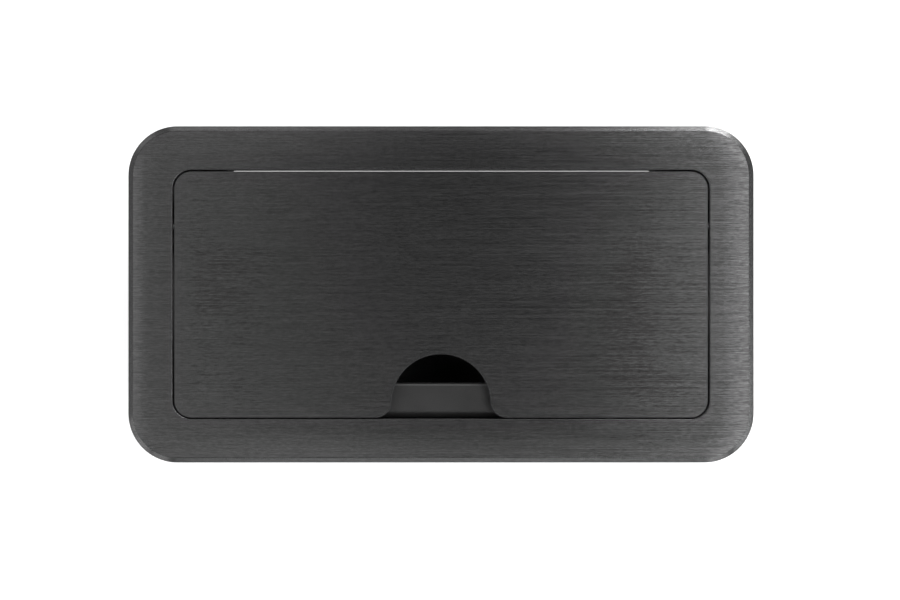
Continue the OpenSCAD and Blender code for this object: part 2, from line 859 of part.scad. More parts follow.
module clamp_washer_right() {
    clamp_washer();
}

module thumb_screw() {
    color([0.12, 0.12, 0.12])
        union() {
            rod_x(screw_tip, knob_x + past, 0, screw_z, screw_r);
            translate([knob_x, 0, screw_z])
                rotate([0, 90, 0]) {
                    cylinder(r1 = knob_core_r - knob_break, r2 = knob_core_r, h = knob_break);
                    translate([0, 0, knob_break])
                        linear_extrude(knob_t - 2 * knob_break) knurl_outline();
                    translate([0, 0, knob_t - knob_break])
                        cylinder(r1 = knob_core_r, r2 = knob_core_r - knob_break, h = knob_break);
                }
        }
}

module thumb_screw_left() {
    mirror([1, 0, 0]) thumb_screw();
}

module thumb_screw_right() {
    thumb_screw();
}

top_frame();
lid_plate();
hinge_lug_left();
hinge_lug_right();
lug_studs();
lug_nuts();
hinge_pins();
stop_pins();
tub_shell();
end_plate_left();
end_plate_right();
rivets();
tub_screws();
front_ledge();
ledge_screws();
lid_bumpers();
lacing_bar();
grommet_left();
grommet_right();
clamp_nut_left();
clamp_nut_right();
clamp_bracket_left();
clamp_bracket_right();
clamp_pad_left();
clamp_pad_right();
clamp_washer_left();
clamp_washer_right();
thumb_screw_left();
thumb_screw_right();
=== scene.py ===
import json
import math

import bmesh
import bpy
from mathutils import Matrix, Vector


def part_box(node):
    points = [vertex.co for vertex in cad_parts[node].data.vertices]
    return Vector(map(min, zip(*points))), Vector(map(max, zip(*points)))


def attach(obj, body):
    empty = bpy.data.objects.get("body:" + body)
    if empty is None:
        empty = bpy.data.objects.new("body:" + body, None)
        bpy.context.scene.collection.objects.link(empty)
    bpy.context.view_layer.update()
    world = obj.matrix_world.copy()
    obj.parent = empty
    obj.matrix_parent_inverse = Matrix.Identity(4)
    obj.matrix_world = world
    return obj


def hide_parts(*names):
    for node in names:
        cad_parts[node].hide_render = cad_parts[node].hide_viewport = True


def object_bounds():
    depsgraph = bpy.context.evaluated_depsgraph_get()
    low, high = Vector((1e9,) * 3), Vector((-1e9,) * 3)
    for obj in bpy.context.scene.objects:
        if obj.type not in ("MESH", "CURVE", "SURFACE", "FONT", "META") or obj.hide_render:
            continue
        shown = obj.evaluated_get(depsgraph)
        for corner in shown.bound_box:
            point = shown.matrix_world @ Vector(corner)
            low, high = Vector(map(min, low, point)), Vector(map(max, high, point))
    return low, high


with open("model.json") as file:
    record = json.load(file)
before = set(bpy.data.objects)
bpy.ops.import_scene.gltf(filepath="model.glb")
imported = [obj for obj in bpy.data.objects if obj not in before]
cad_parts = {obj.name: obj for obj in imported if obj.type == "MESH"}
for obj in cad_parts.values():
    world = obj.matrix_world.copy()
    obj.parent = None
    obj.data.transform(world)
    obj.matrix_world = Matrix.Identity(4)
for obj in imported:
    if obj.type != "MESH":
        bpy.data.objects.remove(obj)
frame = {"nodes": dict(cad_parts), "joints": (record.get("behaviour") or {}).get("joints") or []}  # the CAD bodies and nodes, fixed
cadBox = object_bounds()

print("frame loaded with", len(frame["nodes"]), "nodes")


def jointNamed(name):
    return next(joint for joint in frame["joints"] if joint["name"] == name)


weld = 1e-6  # points closer than this are one point
xAxis, yAxis, zAxis = Vector((1, 0, 0)), Vector((0, 1, 0)), Vector((0, 0, 1))
alongX = Matrix.Rotation(math.radians(90), 4, "Y")  # turns a piece that was made along Z to run along X


# Mesh tools

def vertsIn(result, key="geom"):
    return [part for part in result[key] if isinstance(part, bmesh.types.BMVert)]


def lineTo(bm, vert, place):
    end = bmesh.ops.extrude_vert_indiv(bm, verts=[vert])["verts"][0]
    end.co = place
    return end


def arcTo(bm, vert, centre, axis, degrees, steps):
    swept = bmesh.ops.spin(bm, geom=[vert], cent=centre, axis=axis, angle=math.radians(degrees), steps=steps,
                           use_merge=False)
    return vertsIn(swept, "geom_last")[0]


def draw(bm, start, moves):
    # each move is a place to go straight to, or the centre, axis, degrees and steps of an arc
    pen = bm.verts.new(start)
    for move in moves:
        pen = arcTo(bm, pen, *move) if len(move) == 4 else lineTo(bm, pen, move)


def mergeNear(bm):
    bmesh.ops.remove_doubles(bm, verts=bm.verts[:], dist=weld)


def alignFaces(bm):
    bmesh.ops.recalc_face_normals(bm, faces=bm.faces[:])


def fillBetween(bm):
    # fills the flat area between an outline and the holes in it
    bmesh.ops.triangle_fill(bm, use_beauty=True, use_dissolve=False, edges=bm.edges[:])


def roundCorners(bm, verts, radius, steps):
    bmesh.ops.bevel(bm, geom=verts, offset=radius, segments=steps, profile=0.5, affect="VERTICES",
                    material=-1)


def closeOutline(bm):
    mergeNear(bm)
    bmesh.ops.contextual_create(bm, geom=bm.edges[:])


def extrudeFaces(bm, way):
    grown = bmesh.ops.extrude_face_region(bm, geom=bm.faces[:])
    bmesh.ops.translate(bm, verts=vertsIn(grown), vec=way)
    alignFaces(bm)


def extrudeEdges(bm, edges, way):
    grown = bmesh.ops.extrude_edge_only(bm, edges=edges)
    bmesh.ops.translate(bm, verts=vertsIn(grown), vec=way)
    return [part for part in grown["geom"] if isinstance(part, bmesh.types.BMEdge)
            and all(abs((vert.co - part.verts[0].co).dot(way)) < weld for vert in part.verts)]


def bendEdges(bm, edges, centre, axis, degrees, steps=6):
    verts = list({vert for edge in edges for vert in edge.verts})
    swept = bmesh.ops.spin(bm, geom=edges + verts, cent=centre, axis=axis, angle=math.radians(degrees),
                           steps=steps, use_merge=False)
    return [part for part in swept["geom_last"] if isinstance(part, bmesh.types.BMEdge)]


def openEdges(bm, test):
    # edges of an open sheet whose two ends both pass the test
    return [edge for edge in bm.edges if len(edge.link_faces) < 2
            and all(test(vert.co) for vert in edge.verts)]


def thicken(bm, thickness, outward):
    # outward is a point and the direction in which the sheet's shown side faces there
    spot, way = outward
    near = min(bm.faces, key=lambda face: (face.calc_center_median() - Vector(spot)).length)
    alignFaces(bm)
    if near.normal.dot(Vector(way)) < 0:
        bmesh.ops.reverse_faces(bm, faces=bm.faces[:])
    bmesh.ops.solidify(bm, geom=bm.faces[:], thickness=thickness)
    alignFaces(bm)


def soften(bm, width, segments=2, steeper=40, test=None):
    # rounds the outward edges that are steeper than an angle, and pass the test where there is one
    chosen = [edge for edge in bm.edges if len(edge.link_faces) == 2 and edge.is_convex
              and edge.calc_face_angle(0) > math.radians(steeper)
              and (test is None or all(test(vert.co) for vert in edge.verts))]
    bmesh.ops.bevel(bm, geom=chosen, offset=width, segments=segments, profile=0.5, affect="EDGES",
                    material=-1, clamp_overlap=True)


def roundFace(bm, corners, radii, steps=6):
    # a flat face through the corners, each rounded with its own radius
    verts = [bm.verts.new(corner) for corner in corners]
    bm.faces.new(verts)
    for radius in sorted(set(radii)):
        if radius > 0:
            roundCorners(bm, [vert for vert, own in zip(verts, radii) if own == radius], radius, steps)


def loopAt(bm, width, depth, radius, z, steps):
    # edges of a rounded rectangle, centred on Z
    verts = bmesh.ops.create_grid(bm, x_segments=1, y_segments=1, size=0.5)["verts"]
    bmesh.ops.scale(bm, vec=(width, depth, 1), verts=verts)
    bmesh.ops.translate(bm, vec=(0, 0, z), verts=verts)
    others = set(bm.faces) - set(verts[0].link_faces)
    if radius > 0:
        roundCorners(bm, verts, radius, steps)
    face = [face for face in bm.faces if face not in others][0]
    bmesh.ops.remove_doubles(bm, verts=face.verts[:], dist=weld)
    face = [face for face in bm.faces if face not in others][0]
    edges = face.edges[:]
    bmesh.ops.delete(bm, geom=[face], context="FACES_ONLY")
    return edges


def loftRing(loops, steps):
    # a closed ring through rounded rectangles, each (width, depth, radius, z)
    bm = bmesh.new()
    edges = loopAt(bm, 4, 4, 1, 0, steps)  # one unit apart, then each is set to its own size
    for following in loops:
        edges = extrudeEdges(bm, edges, zAxis)
    for vert in bm.verts:
        width, depth, radius, z = loops[round(vert.co.z) % len(loops)]
        cornerX, cornerY = math.copysign(1, vert.co.x), math.copysign(1, vert.co.y)
        x = cornerX * (width / 2 - radius) + (vert.co.x - cornerX) * radius
        y = cornerY * (depth / 2 - radius) + (vert.co.y - cornerY) * radius
        vert.co = (x, y, z)
    mergeNear(bm)
    alignFaces(bm)
    return bm


def roundOff(points, radius, steps=3):
    # the same line with its inner corners rounded by a curve
    line = [Vector(points[0])]
    for before, corner, after in zip(points, points[1:], points[2:]):
        corner = Vector(corner)
        back, ahead = Vector(before) - corner, Vector(after) - corner
        reach = min(radius, back.length / 2, ahead.length / 2)
        start, end = corner + back.normalized() * reach, corner + ahead.normalized() * reach
        for step in range(steps + 1):
            t = step / steps
            line.append(start * (1 - t) ** 2 + corner * 2 * t * (1 - t) + end * t ** 2)
    return line + [Vector(points[-1])]


def lathe(profile, steps=40, closed=False):
    # turns a line of (radius, height) points round Z
    bm = bmesh.new()
    first = bm.verts.new((profile[0][0], 0, profile[0][1]))
    last = first
    for radius, height in profile[1:]:
        last = lineTo(bm, last, (radius, 0, height))
    if closed:
        bm.edges.new((last, first))
    bmesh.ops.spin(bm, geom=bm.verts[:] + bm.edges[:], cent=(0, 0, 0), axis=zAxis, angle=2 * math.pi,
                   steps=steps, use_merge=True)
    mergeNear(bm)
    alignFaces(bm)
    return bm


def block(low, high, softness, segments=2):
    bm = bmesh.new()
    bmesh.ops.create_cube(bm, size=1)
    bmesh.ops.scale(bm, vec=Vector(high) - Vector(low), verts=bm.verts[:])
    bmesh.ops.translate(bm, vec=(Vector(low) + Vector(high)) / 2, verts=bm.verts[:])
    soften(bm, softness, segments)
    return bm


def moved(bm, matrix):
    bmesh.ops.transform(bm, matrix=matrix, verts=bm.verts[:])
    if matrix.determinant() < 0:
        bmesh.ops.reverse_faces(bm, faces=bm.faces[:])
    return bm


def joined(parts):
    whole = bmesh.new()
    for part in parts:
        mesh = bpy.data.meshes.new("part")
        part.to_mesh(mesh)
        part.free()
        whole.from_mesh(mesh)
        bpy.data.meshes.remove(mesh)
    return whole


def copies(makePart, places):
    return joined([moved(makePart(), place) for place in places])


def onSide(side):
    # the right-hand piece as it is, or mirrored to the left
    return Matrix.Scale(side, 4, xAxis)


def show(thing):
    bpy.context.scene.collection.objects.link(thing)


grainMap = {"perMetre": 10, "shiftU": 0.37, "shiftV": 0.21}  # the shifts give walls an area in the map


def addPiece(name, bm, finish, body, nodes, wallFinish=None, level=0.75, creases=35):
    if wallFinish:  # brushed on what faces up, with the other finish on edges, walls and undersides
        bm.normal_update()
        layer = bm.loops.layers.uv.new("grain")  # U runs along the brushing
        for face in bm.faces:
            face.material_index = 0 if face.normal.z > level else 1
            for corner in face.loops:
                spot = corner.vert.co
                u, v = spot.x + grainMap["shiftU"] * spot.z, spot.y + grainMap["shiftV"] * spot.z
                corner[layer].uv = (grainMap["perMetre"] * u, grainMap["perMetre"] * v)
    mesh = bpy.data.meshes.new(name)
    bm.to_mesh(mesh)
    bm.free()
    mesh.shade_smooth()
    mesh.set_sharp_from_angle(angle=math.radians(creases))
    mesh.materials.append(finish)
    if wallFinish:
        mesh.materials.append(wallFinish)
    piece = bpy.data.objects.new(name, mesh)
    show(piece)
    flat = piece.modifiers.new("evenNormals", "WEIGHTED_NORMAL")  # keeps flats flat beside round edges
    flat.keep_sharp = True
    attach(piece, body)
    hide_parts(*nodes)


def addSided(side, name, bm, finish, body, node):
    # a body or node that ends in an underscore takes the side's name
    word = "left" if side < 0 else "right"
    body, node = (start + word if start.endswith("_") else start for start in (body, node))
    addPiece(name + word.capitalize(), bm, finish, body, [node])


# Finishes

def startFinish(name, colour, roughness, metallic=0.0):
    finish = bpy.data.materials.new(name)
    finish.use_nodes = True
    finish.diffuse_color = (*colour, 1)
    shader = finish.node_tree.nodes["Principled BSDF"]
    shader.inputs["Base Color"].default_value = (*colour, 1)
    shader.inputs["Roughness"].default_value = roughness
    shader.inputs["Metallic"].default_value = metallic
    return finish, finish.node_tree, shader


def feed(tree, socket, value):
    # value is a number, a colour or another node's socket
    if isinstance(value, tuple):
        socket.default_value = (*value, 1)
    elif isinstance(value, (int, float)):
        socket.default_value = value
    else:
        tree.links.new(value, socket)


def addMath(tree, operation, *values):
    node = tree.nodes.new("ShaderNodeMath")
    node.operation = operation
    for socket, value in zip(node.inputs, values):
        feed(tree, socket, value)
    return node.outputs[0]


def alongAxis(tree, axis, space="Object"):
    place = tree.nodes.new("ShaderNodeTexCoord")
    parts = tree.nodes.new("ShaderNodeSeparateXYZ")
    tree.links.new(place.outputs[space], parts.inputs["Vector"])
    return parts.outputs[axis]


def addNoise(tree, perMetre, detail=2.0, roughness=0.5):
    # noise in object space, with its own number of cells per metre along X, Y and Z
    place = tree.nodes.new("ShaderNodeTexCoord")
    scaled = tree.nodes.new("ShaderNodeMapping")
    scaled.inputs["Scale"].default_value = perMetre
    noise = tree.nodes.new("ShaderNodeTexNoise")
    noise.inputs["Scale"].default_value = 1.0
    noise.inputs["Detail"].default_value = detail
    noise.inputs["Roughness"].default_value = roughness
    tree.links.new(place.outputs["Object"], scaled.inputs["Vector"])
    tree.links.new(scaled.outputs["Vector"], noise.inputs["Vector"])
    return noise.outputs["Fac"]


def addRange(tree, value, low, high, fromLow=0.3, fromHigh=0.7):
    spread = tree.nodes.new("ShaderNodeMapRange")
    spread.inputs["From Min"].default_value = fromLow
    spread.inputs["From Max"].default_value = fromHigh
    spread.inputs["To Min"].default_value = low
    spread.inputs["To Max"].default_value = high
    tree.links.new(value, spread.inputs["Value"])
    return spread.outputs["Result"]


def addBlend(tree, first, second, shareOfSecond):
    # of colours where the second is a colour, and otherwise of numbers
    blend = tree.nodes.new("ShaderNodeMix")
    inColour = isinstance(second, tuple)
    blend.data_type = "RGBA" if inColour else "FLOAT"
    for socket, value in zip((0, 6, 7) if inColour else (0, 2, 3), (shareOfSecond, first, second)):
        feed(tree, blend.inputs[socket], value)
    return blend.outputs[2 if inColour else 0]


def varyColour(tree, shader, value, dark, light):
    tree.links.new(addBlend(tree, dark, light, value), shader.inputs["Base Color"])


def paintHighlightLine(finish, middle, reach, colour):
    # a painted highlight: a lighter line along X on the bend's crest, where the bend catches the light
    tree = finish.node_tree
    base = tree.nodes["Principled BSDF"].inputs["Base Color"]
    away = addMath(tree, "ABSOLUTE", addMath(tree, "SUBTRACT", alongAxis(tree, "Y"), middle))
    share = addRange(tree, away, 1, 0, 0, reach)
    tree.links.new(addBlend(tree, base.links[0].from_socket, colour, share), base)


def addBump(tree, shader, height, depth):
    bump = tree.nodes.new("ShaderNodeBump")
    bump.inputs["Distance"].default_value = depth
    tree.links.new(height, bump.inputs["Height"])
    tree.links.new(bump.outputs["Normal"], shader.inputs["Normal"])


def shade(colour, factor):
    return tuple(min(1.0, channel * factor) for channel in colour)


brushed = {
    "colour": (0.115, 0.115, 0.1157),
    "roughness": 0.25,
    "anisotropic": 0.6,
    "anisotropicTurn": 0.25,
    "colourSpread": 0.4,
    "roughnessSpread": 0.015,
    "lines": (10.0, 2600.0, 2600.0),
    "streaks": (70.0, 2100.0, 2100.0),
    "hairs": (420.0, 2100.0, 2100.0),
    "hairShare": 0.6,
    "lineShares": (0.22, 0.36),
    "heavierFrom": -0.02,  # the brushing gets heavier between these two places along X
    "heavierTo": 0.08,
    "lightShare": 0.66,
    "toneRange": (0.35, 0.65),
    "scratchDepth": 0.000001,
}


def makeBrushed(name):
    finish, tree, shader = startFinish(name, brushed["colour"], brushed["roughness"], 1.0)
    lines = addNoise(tree, brushed["lines"], 1.0)
    streaks = addNoise(tree, brushed["streaks"], 1.0)
    hairs = addNoise(tree, brushed["hairs"], 1.0)
    across = alongAxis(tree, "X")
    ends = (brushed["heavierFrom"], brushed["heavierTo"])
    lineShare = addRange(tree, across, *brushed["lineShares"], *ends)
    tone = addBlend(tree, addBlend(tree, streaks, hairs, brushed["hairShare"]), lines, lineShare)
    weight = addRange(tree, across, brushed["lightShare"], 1, *ends)
    tone = addBlend(tree, 0.5, tone, weight)
    spread = brushed["colourSpread"]
    varyColour(tree, shader, addRange(tree, tone, 0, 1, *brushed["toneRange"]),
               shade(brushed["colour"], 1 - spread), shade(brushed["colour"], 1 + spread))
    low, high = (brushed["roughness"] + side * brushed["roughnessSpread"] for side in (-1, 1))
    tree.links.new(addRange(tree, tone, low, high, *brushed["toneRange"]), shader.inputs["Roughness"])
    addBump(tree, shader, tone, brushed["scratchDepth"])
    grain = tree.nodes.new("ShaderNodeTangent")  # brushing runs along the UV map's U
    grain.direction_type = "UV_MAP"
    grain.uv_map = "grain"
    shader.inputs["Anisotropic"].default_value = brushed["anisotropic"]
    shader.inputs["Anisotropic Rotation"].default_value = brushed["anisotropicTurn"]
    tree.links.new(grain.outputs["Tangent"], shader.inputs["Tangent"])
    return finish


# grain is the noise's detail and roughness; the shares are of the clouds, the rest is grain; dark and light
# multiply the colour; smoother and rougher are steps of roughness
powder = {
    "grain": (2.0, 0.55),
    "clouds": 140.0,
    "cloudDetail": 3.0,
    "toneShare": 0.35,
    "wearShare": 1.0,
    "dark": 0.8,
    "light": 1.22,
    "smoother": 0.07,
    "rougher": 0.07,
}
steel = {
    "grain": (3.0, 0.6),
    "clouds": 420.0,
    "cloudDetail": 3.0,
    "toneShare": 1.0,
    "wearShare": 0.0,
    "dark": 0.9,
    "light": 1.1,
    "smoother": 0.08,
    "rougher": 0.1,
}
moulded = {**steel, "grain": (2.0, 0.5), "clouds": 220.0, "cloudDetail": 2.0, "dark": 0.82, "light": 1.2,
           "smoother": 0.06, "rougher": 0.08}


def makeSkin(name, kind, colour, roughness, grains, depth, metallic=0.0, sheen=0.5):
    finish, tree, shader = startFinish(name, colour, roughness, metallic)
    shader.inputs["Specular IOR Level"].default_value = sheen
    grain = addNoise(tree, grains, *kind["grain"])
    cloud = addNoise(tree, 3 * (kind["clouds"],), kind["cloudDetail"])
    tone = addRange(tree, addBlend(tree, grain, cloud, kind["toneShare"]), 0, 1)
    varyColour(tree, shader, tone, shade(colour, kind["dark"]), shade(colour, kind["light"]))
    wear = addBlend(tree, grain, cloud, kind["wearShare"])
    low, high = roughness - kind["smoother"], roughness + kind["rougher"]
    tree.links.new(addRange(tree, wear, low, high), shader.inputs["Roughness"])
    addBump(tree, shader, grain, depth)
    return finish


brushedMetal = makeBrushed("brushedBlackAnodised")
mattAnodised = makeSkin("mattBlackAnodised", powder, (0.04, 0.04, 0.041), 0.5, 3 * (5200.0,), 0.00001,
                        sheen=0.1)
powderBlack = makeSkin("powderCoatBlack", powder, (0.068, 0.068, 0.069), 0.62, 3 * (2600.0,), 0.00006)
powderGrey = makeSkin("powderCoatGrey", powder, (0.03, 0.03, 0.03), 0.42, 3 * (2200.0,), 0.00004)
acetal = makeSkin("machinedAcetal", moulded, (0.035, 0.035, 0.035), 0.42, (500.0, 3600.0, 3600.0), 0.00001)
rubber = makeSkin("mouldedRubber", moulded, (0.025, 0.025, 0.025), 0.75, 3 * (3000.0,), 0.00003)
zinc = makeSkin("brightZinc", steel, (0.6, 0.6, 0.62), 0.32, 3 * (1800.0,), 0.000008, 1.0)
pinSteel = makeSkin("groundSteel", steel, (0.62, 0.62, 0.63), 0.24, (5200.0, 700.0, 700.0), 0.000006, 1.0)
blackZinc = makeSkin("blackZinc", steel, (0.05, 0.05, 0.052), 0.38, 3 * (2000.0,), 0.000008, 0.85)
nickel = makeSkin("nickelPlate", steel, (0.55, 0.55, 0.56), 0.28, (900.0, 3600.0, 3600.0), 0.000006, 1.0)
print("finishes made")


# Frame: a bevelled ring with the collar below it

frameLow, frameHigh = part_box("top_frame")
lidLow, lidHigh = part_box("lid_plate")
bezel = {
    "cornerRadius": 0.022,
    "bevelWidth": 0.0022,
    "bevelHeight": 0.0015,
    "bevelRound": 0.00016,
    "rollWidth": 0.012,
    "rollDrop": 0.00045,
    "rollStart": 0.2,
    "rollSteps": 8,
    "openingRadius": 0.0085,
    "sideGap": 0.0007,
    "rearGap": 0.0007,
    "edgeBreak": 0.0003,
    "footBreak": 0.00025,
    "collarWall": 0.005,
    "collarRadius": 0.003,
    "draft": 0.00012,
    "cornerSteps": 24,
}


def makeBezel():
    width, depth = frameHigh.x - frameLow.x, frameHigh.y - frameLow.y
    openWidth = 2 * (lidHigh.x + bezel["sideGap"])
    openDepth = 2 * (lidHigh.y + bezel["rearGap"])
    collarWidth, collarDepth = openWidth + 2 * bezel["collarWall"], openDepth + 2 * bezel["collarWall"]
    top, foot, edge, rim = frameHigh.z, frameLow.z, bezel["edgeBreak"], bezel["footBreak"]

    def outer(inset, z):
        return (width - 2 * inset, depth - 2 * inset, bezel["cornerRadius"] - inset, z)

    def opening(grow, z):
        return (openWidth + 2 * grow, openDepth + 2 * grow, bezel["openingRadius"] + grow, z)

    def collar(inset, z):
        return (collarWidth - 2 * inset, collarDepth - 2 * inset, bezel["collarRadius"] - inset, z)

    bevelTop = top - bezel["rollDrop"]
    rise = [(0, rim), (0, bevelTop - bezel["bevelHeight"]), (bezel["bevelWidth"], bevelTop),
            (2 * bezel["bevelWidth"], bevelTop + bezel["rollDrop"] * bezel["rollStart"])]
    edgeLine = roundOff(rise, bezel["bevelRound"], steps=4)[:-1]
    loops = [outer(rim, 0)] + [outer(inset, z) for inset, z in edgeLine]
    for step in range(1, bezel["rollSteps"] + 1):
        share = step / bezel["rollSteps"]  # the border falls away slightly towards its bevel
        inset = bezel["bevelWidth"] + bezel["bevelRound"] + share * bezel["rollWidth"]
        loops.append(outer(inset, top - bezel["rollDrop"] * (1 - share) ** 2))
    loops += [opening(grow, z) for grow, z in roundOff([(edge * 2, top), (edge, top), (0, top - edge),
                                                        (0, top - 3 * edge)], edge * 0.5)]
    loops += [opening(bezel["draft"], foot + rim), opening(bezel["draft"] + rim, foot)]
    loops += [collar(rim, foot), collar(0, foot + rim), collar(0, 0)]
    addPiece("bezel", loftRing(loops, bezel["cornerSteps"]), brushedMetal, "housing",
             ["top_frame"], mattAnodised)


makeBezel()


# Lid: a flat plate with the flared round notch

lid = {
    "cornerRadius": 0.0078,
    "notchRadius": 0.0221,
    "notchInset": 0.0063,
    "flareRadius": 0.0072,
    "edgeBreak": 0.00028,
    "notchSteps": 56,
    "flareSteps": 20,
    "cornerSteps": 16,
}


def makeLid():
    bm = bmesh.new()
    flareY, notchY = lidLow.y + lid["flareRadius"], lidLow.y + lid["notchInset"]
    reach = lid["notchRadius"] + lid["flareRadius"]
    tilt = math.degrees(math.asin((flareY - notchY) / reach))
    flareX = reach * math.cos(math.radians(tilt))
    z, radius = lidLow.z, lid["cornerRadius"]
    start = (-flareX, lidLow.y, z)
    moves = [
        ((-flareX, flareY, z), zAxis, 90 - tilt, lid["flareSteps"]),
        ((0, notchY, z), zAxis, 2 * tilt - 180, lid["notchSteps"]),
        ((flareX, flareY, z), zAxis, 90 - tilt, lid["flareSteps"]),
    ]
    corners = [(lidHigh.x - radius, lidLow.y), (lidHigh.x, lidHigh.y - radius),
               (lidLow.x + radius, lidHigh.y), (lidLow.x, lidLow.y + radius)]
    inward = [(0, radius), (-radius, 0), (0, -radius), (radius, 0)]
    for corner, way in zip(corners, inward):
        middle = (corner[0] + way[0], corner[1] + way[1], z)
        moves += [(*corner, z), (middle, zAxis, 90, lid["cornerSteps"])]
    draw(bm, start, moves + [start])
    closeOutline(bm)
    extrudeFaces(bm, (0, 0, lidHigh.z - lidLow.z))
    soften(bm, lid["edgeBreak"], segments=3, steeper=60, test=lambda spot: spot.z > lidHigh.z - weld)
    soften(bm, lid["edgeBreak"] / 2, segments=1, steeper=60, test=lambda spot: spot.z < lidLow.z + weld)
    addPiece("flipLid", bm, brushedMetal, "lid", ["lid_plate"], mattAnodised, level=0.99)


makeLid()


# Hinge lugs: a foot under the lid, a barrel on the pin, and a tail that stops the lid

lugLow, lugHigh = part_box("hinge_lug_right")
hingeAxis = Vector(jointNamed("lid_hinge")["pos_m"])
lug = {
    "barrelRadius": 0.005,
    "barrelLength": 0.0115,
    "footThickness": 0.003,
    "tailRadius": 0.003,
    "tailLength": 0.011,
    "tailAngle": 35,
    "softness": 0.0003,
    "tailSteps": 14,
    "barrelSteps": 16,
}


def makeLug(side):
    bm = bmesh.new()
    inner, outer = lugHigh.x - lug["barrelLength"], lugHigh.x
    under = lugHigh.z - lug["footThickness"]
    fall = math.radians(lug["tailAngle"])
    along = Vector((0, math.cos(fall), -math.sin(fall)))
    across = Vector((0, math.sin(fall), math.cos(fall)))
    pivot = Vector((inner, hingeAxis.y, hingeAxis.z))
    tailEnd = pivot + along * lug["tailLength"]
    upper = pivot + across * lug["tailRadius"]
    footMeet = upper + along * ((upper.z - under) / math.sin(fall))
    meet = math.sqrt(lug["barrelRadius"] ** 2 - lug["tailRadius"] ** 2)
    barrelMeet = pivot + along * meet - across * lug["tailRadius"]
    meetAngle = math.atan2(barrelMeet.z - pivot.z, barrelMeet.y - pivot.y)
    footAngle = math.asin((under - pivot.z) / lug["barrelRadius"])
    turn = math.degrees(math.pi + meetAngle - footAngle)
    start = (inner, lugLow.y, under)
    draw(bm, start, [
        (inner, lugLow.y, lugHigh.z),
        (inner, lugHigh.y, lugHigh.z),
        (inner, lugHigh.y, under),
        footMeet,
        tailEnd + across * lug["tailRadius"],
        (tailEnd, xAxis, -180, lug["tailSteps"]),
        barrelMeet,
        (pivot, xAxis, -turn, lug["barrelSteps"]),
        start,
    ])
    closeOutline(bm)
    extrudeFaces(bm, (outer - inner, 0, 0))
    soften(bm, lug["softness"], steeper=35)
    foot = block((lugLow.x, lugLow.y, under), (inner, lugHigh.y, lugHigh.z), lug["softness"])
    whole = moved(joined([bm, foot]), onSide(side))
    addSided(side, "hingeLug", whole, acetal, "lid", "hinge_lug_")


makeLug(-1)
makeLug(1)
print("frame and lid made")


# Small hardware, made along Z with its seat on Z = 0

thread = {"depth": 1 / 3, "crestFrom": 0.35, "crestTo": 0.6}  # shares of the pitch
smallRound, mediumRound = 28, 36  # steps round small turned pieces and middling ones


def threadLine(radius, pitch, low, high):
    # points up the side of a threaded rod
    root, rings = radius - thread["depth"] * pitch, int((high - low) / pitch)
    line = []
    for ring in range(rings):
        foot = low + ring * pitch
        line += [(root, foot), (radius, foot + thread["crestFrom"] * pitch),
                 (radius, foot + thread["crestTo"] * pitch)]
    return line + [(root, low + rings * pitch)]


def makeRod(length, radius, chamfer, pitch=None):
    side = [(radius, chamfer), (radius, length - chamfer)]
    if pitch:
        side = threadLine(radius, pitch, chamfer, length - chamfer)
    line = [(0, 0), (radius - chamfer, 0)] + side + [(radius - chamfer, length), (0, length)]
    return lathe(line, smallRound)


def makeHexRing(radius, holeRadius, height, softness):
    bm = bmesh.new()
    for segments, size in ((6, radius), (24, holeRadius)):
        bmesh.ops.create_circle(bm, cap_ends=False, radius=size, segments=segments)
    fillBetween(bm)
    extrudeFaces(bm, (0, 0, height))
    soften(bm, softness, steeper=50, test=lambda spot: math.hypot(spot.x, spot.y) > 0.9 * radius)
    return moved(bm, Matrix.Rotation(math.radians(90), 4, "Z"))  # two corners lie along X


smallScrew = {
    "shankRadius": 0.0015,
    "headRadius": 0.00275,
    "headHeight": 0.0018,
    "bite": 0.0036,
    "socketRadius": 0.00112,
    "socketDepth": 0.0011,
    "pitch": 0.0005,
    "chamfer": 0.0003,
    "crownRound": 0.0007,
    "neck": 0.0001,
}


def makeScrew(grip):
    shank, head, high = smallScrew["shankRadius"], smallScrew["headRadius"], smallScrew["headHeight"]
    end, cut, neck = -grip - smallScrew["bite"], smallScrew["chamfer"], smallScrew["neck"]
    lip = 1.35 * smallScrew["socketRadius"]
    dome = [(head, 0), (head, 0.42 * high), (0.62 * head, high), (lip, high)]
    side = threadLine(shank, smallScrew["pitch"], end + cut, -cut)
    bm = lathe([(0, end), (shank - cut, end)] + side + [(shank, -neck), (shank, 0)]
               + roundOff(dome, smallScrew["crownRound"], steps=4), smallRound)
    rim = [edge for edge in bm.edges if len(edge.link_faces) == 1]
    socket = bmesh.ops.create_circle(bm, cap_ends=False, radius=smallScrew["socketRadius"],
                                     segments=6)["verts"]
    bmesh.ops.translate(bm, vec=(0, 0, high - neck), verts=socket)
    mouth = list({edge for vert in socket for edge in vert.link_edges})
    bmesh.ops.bridge_loops(bm, edges=rim + mouth)
    floor = extrudeEdges(bm, mouth, Vector((0, 0, -smallScrew["socketDepth"])))
    bmesh.ops.contextual_create(bm, geom=floor)
    alignFaces(bm)
    return bm


rivet = {
    "radius": 0.0016,
    "headRadius": 0.0032,
    "headHeight": 0.0009,
    "tailRadius": 0.00224,
    "tailHeight": 0.00144,
    "mandrelRadius": 0.0008,
    "mandrelDepth": 0.0004,
    "rim": 0.00012,
    "rimCut": 0.0001,
    "crownRound": 0.0012,
    "tailRound": 0.0005,
}


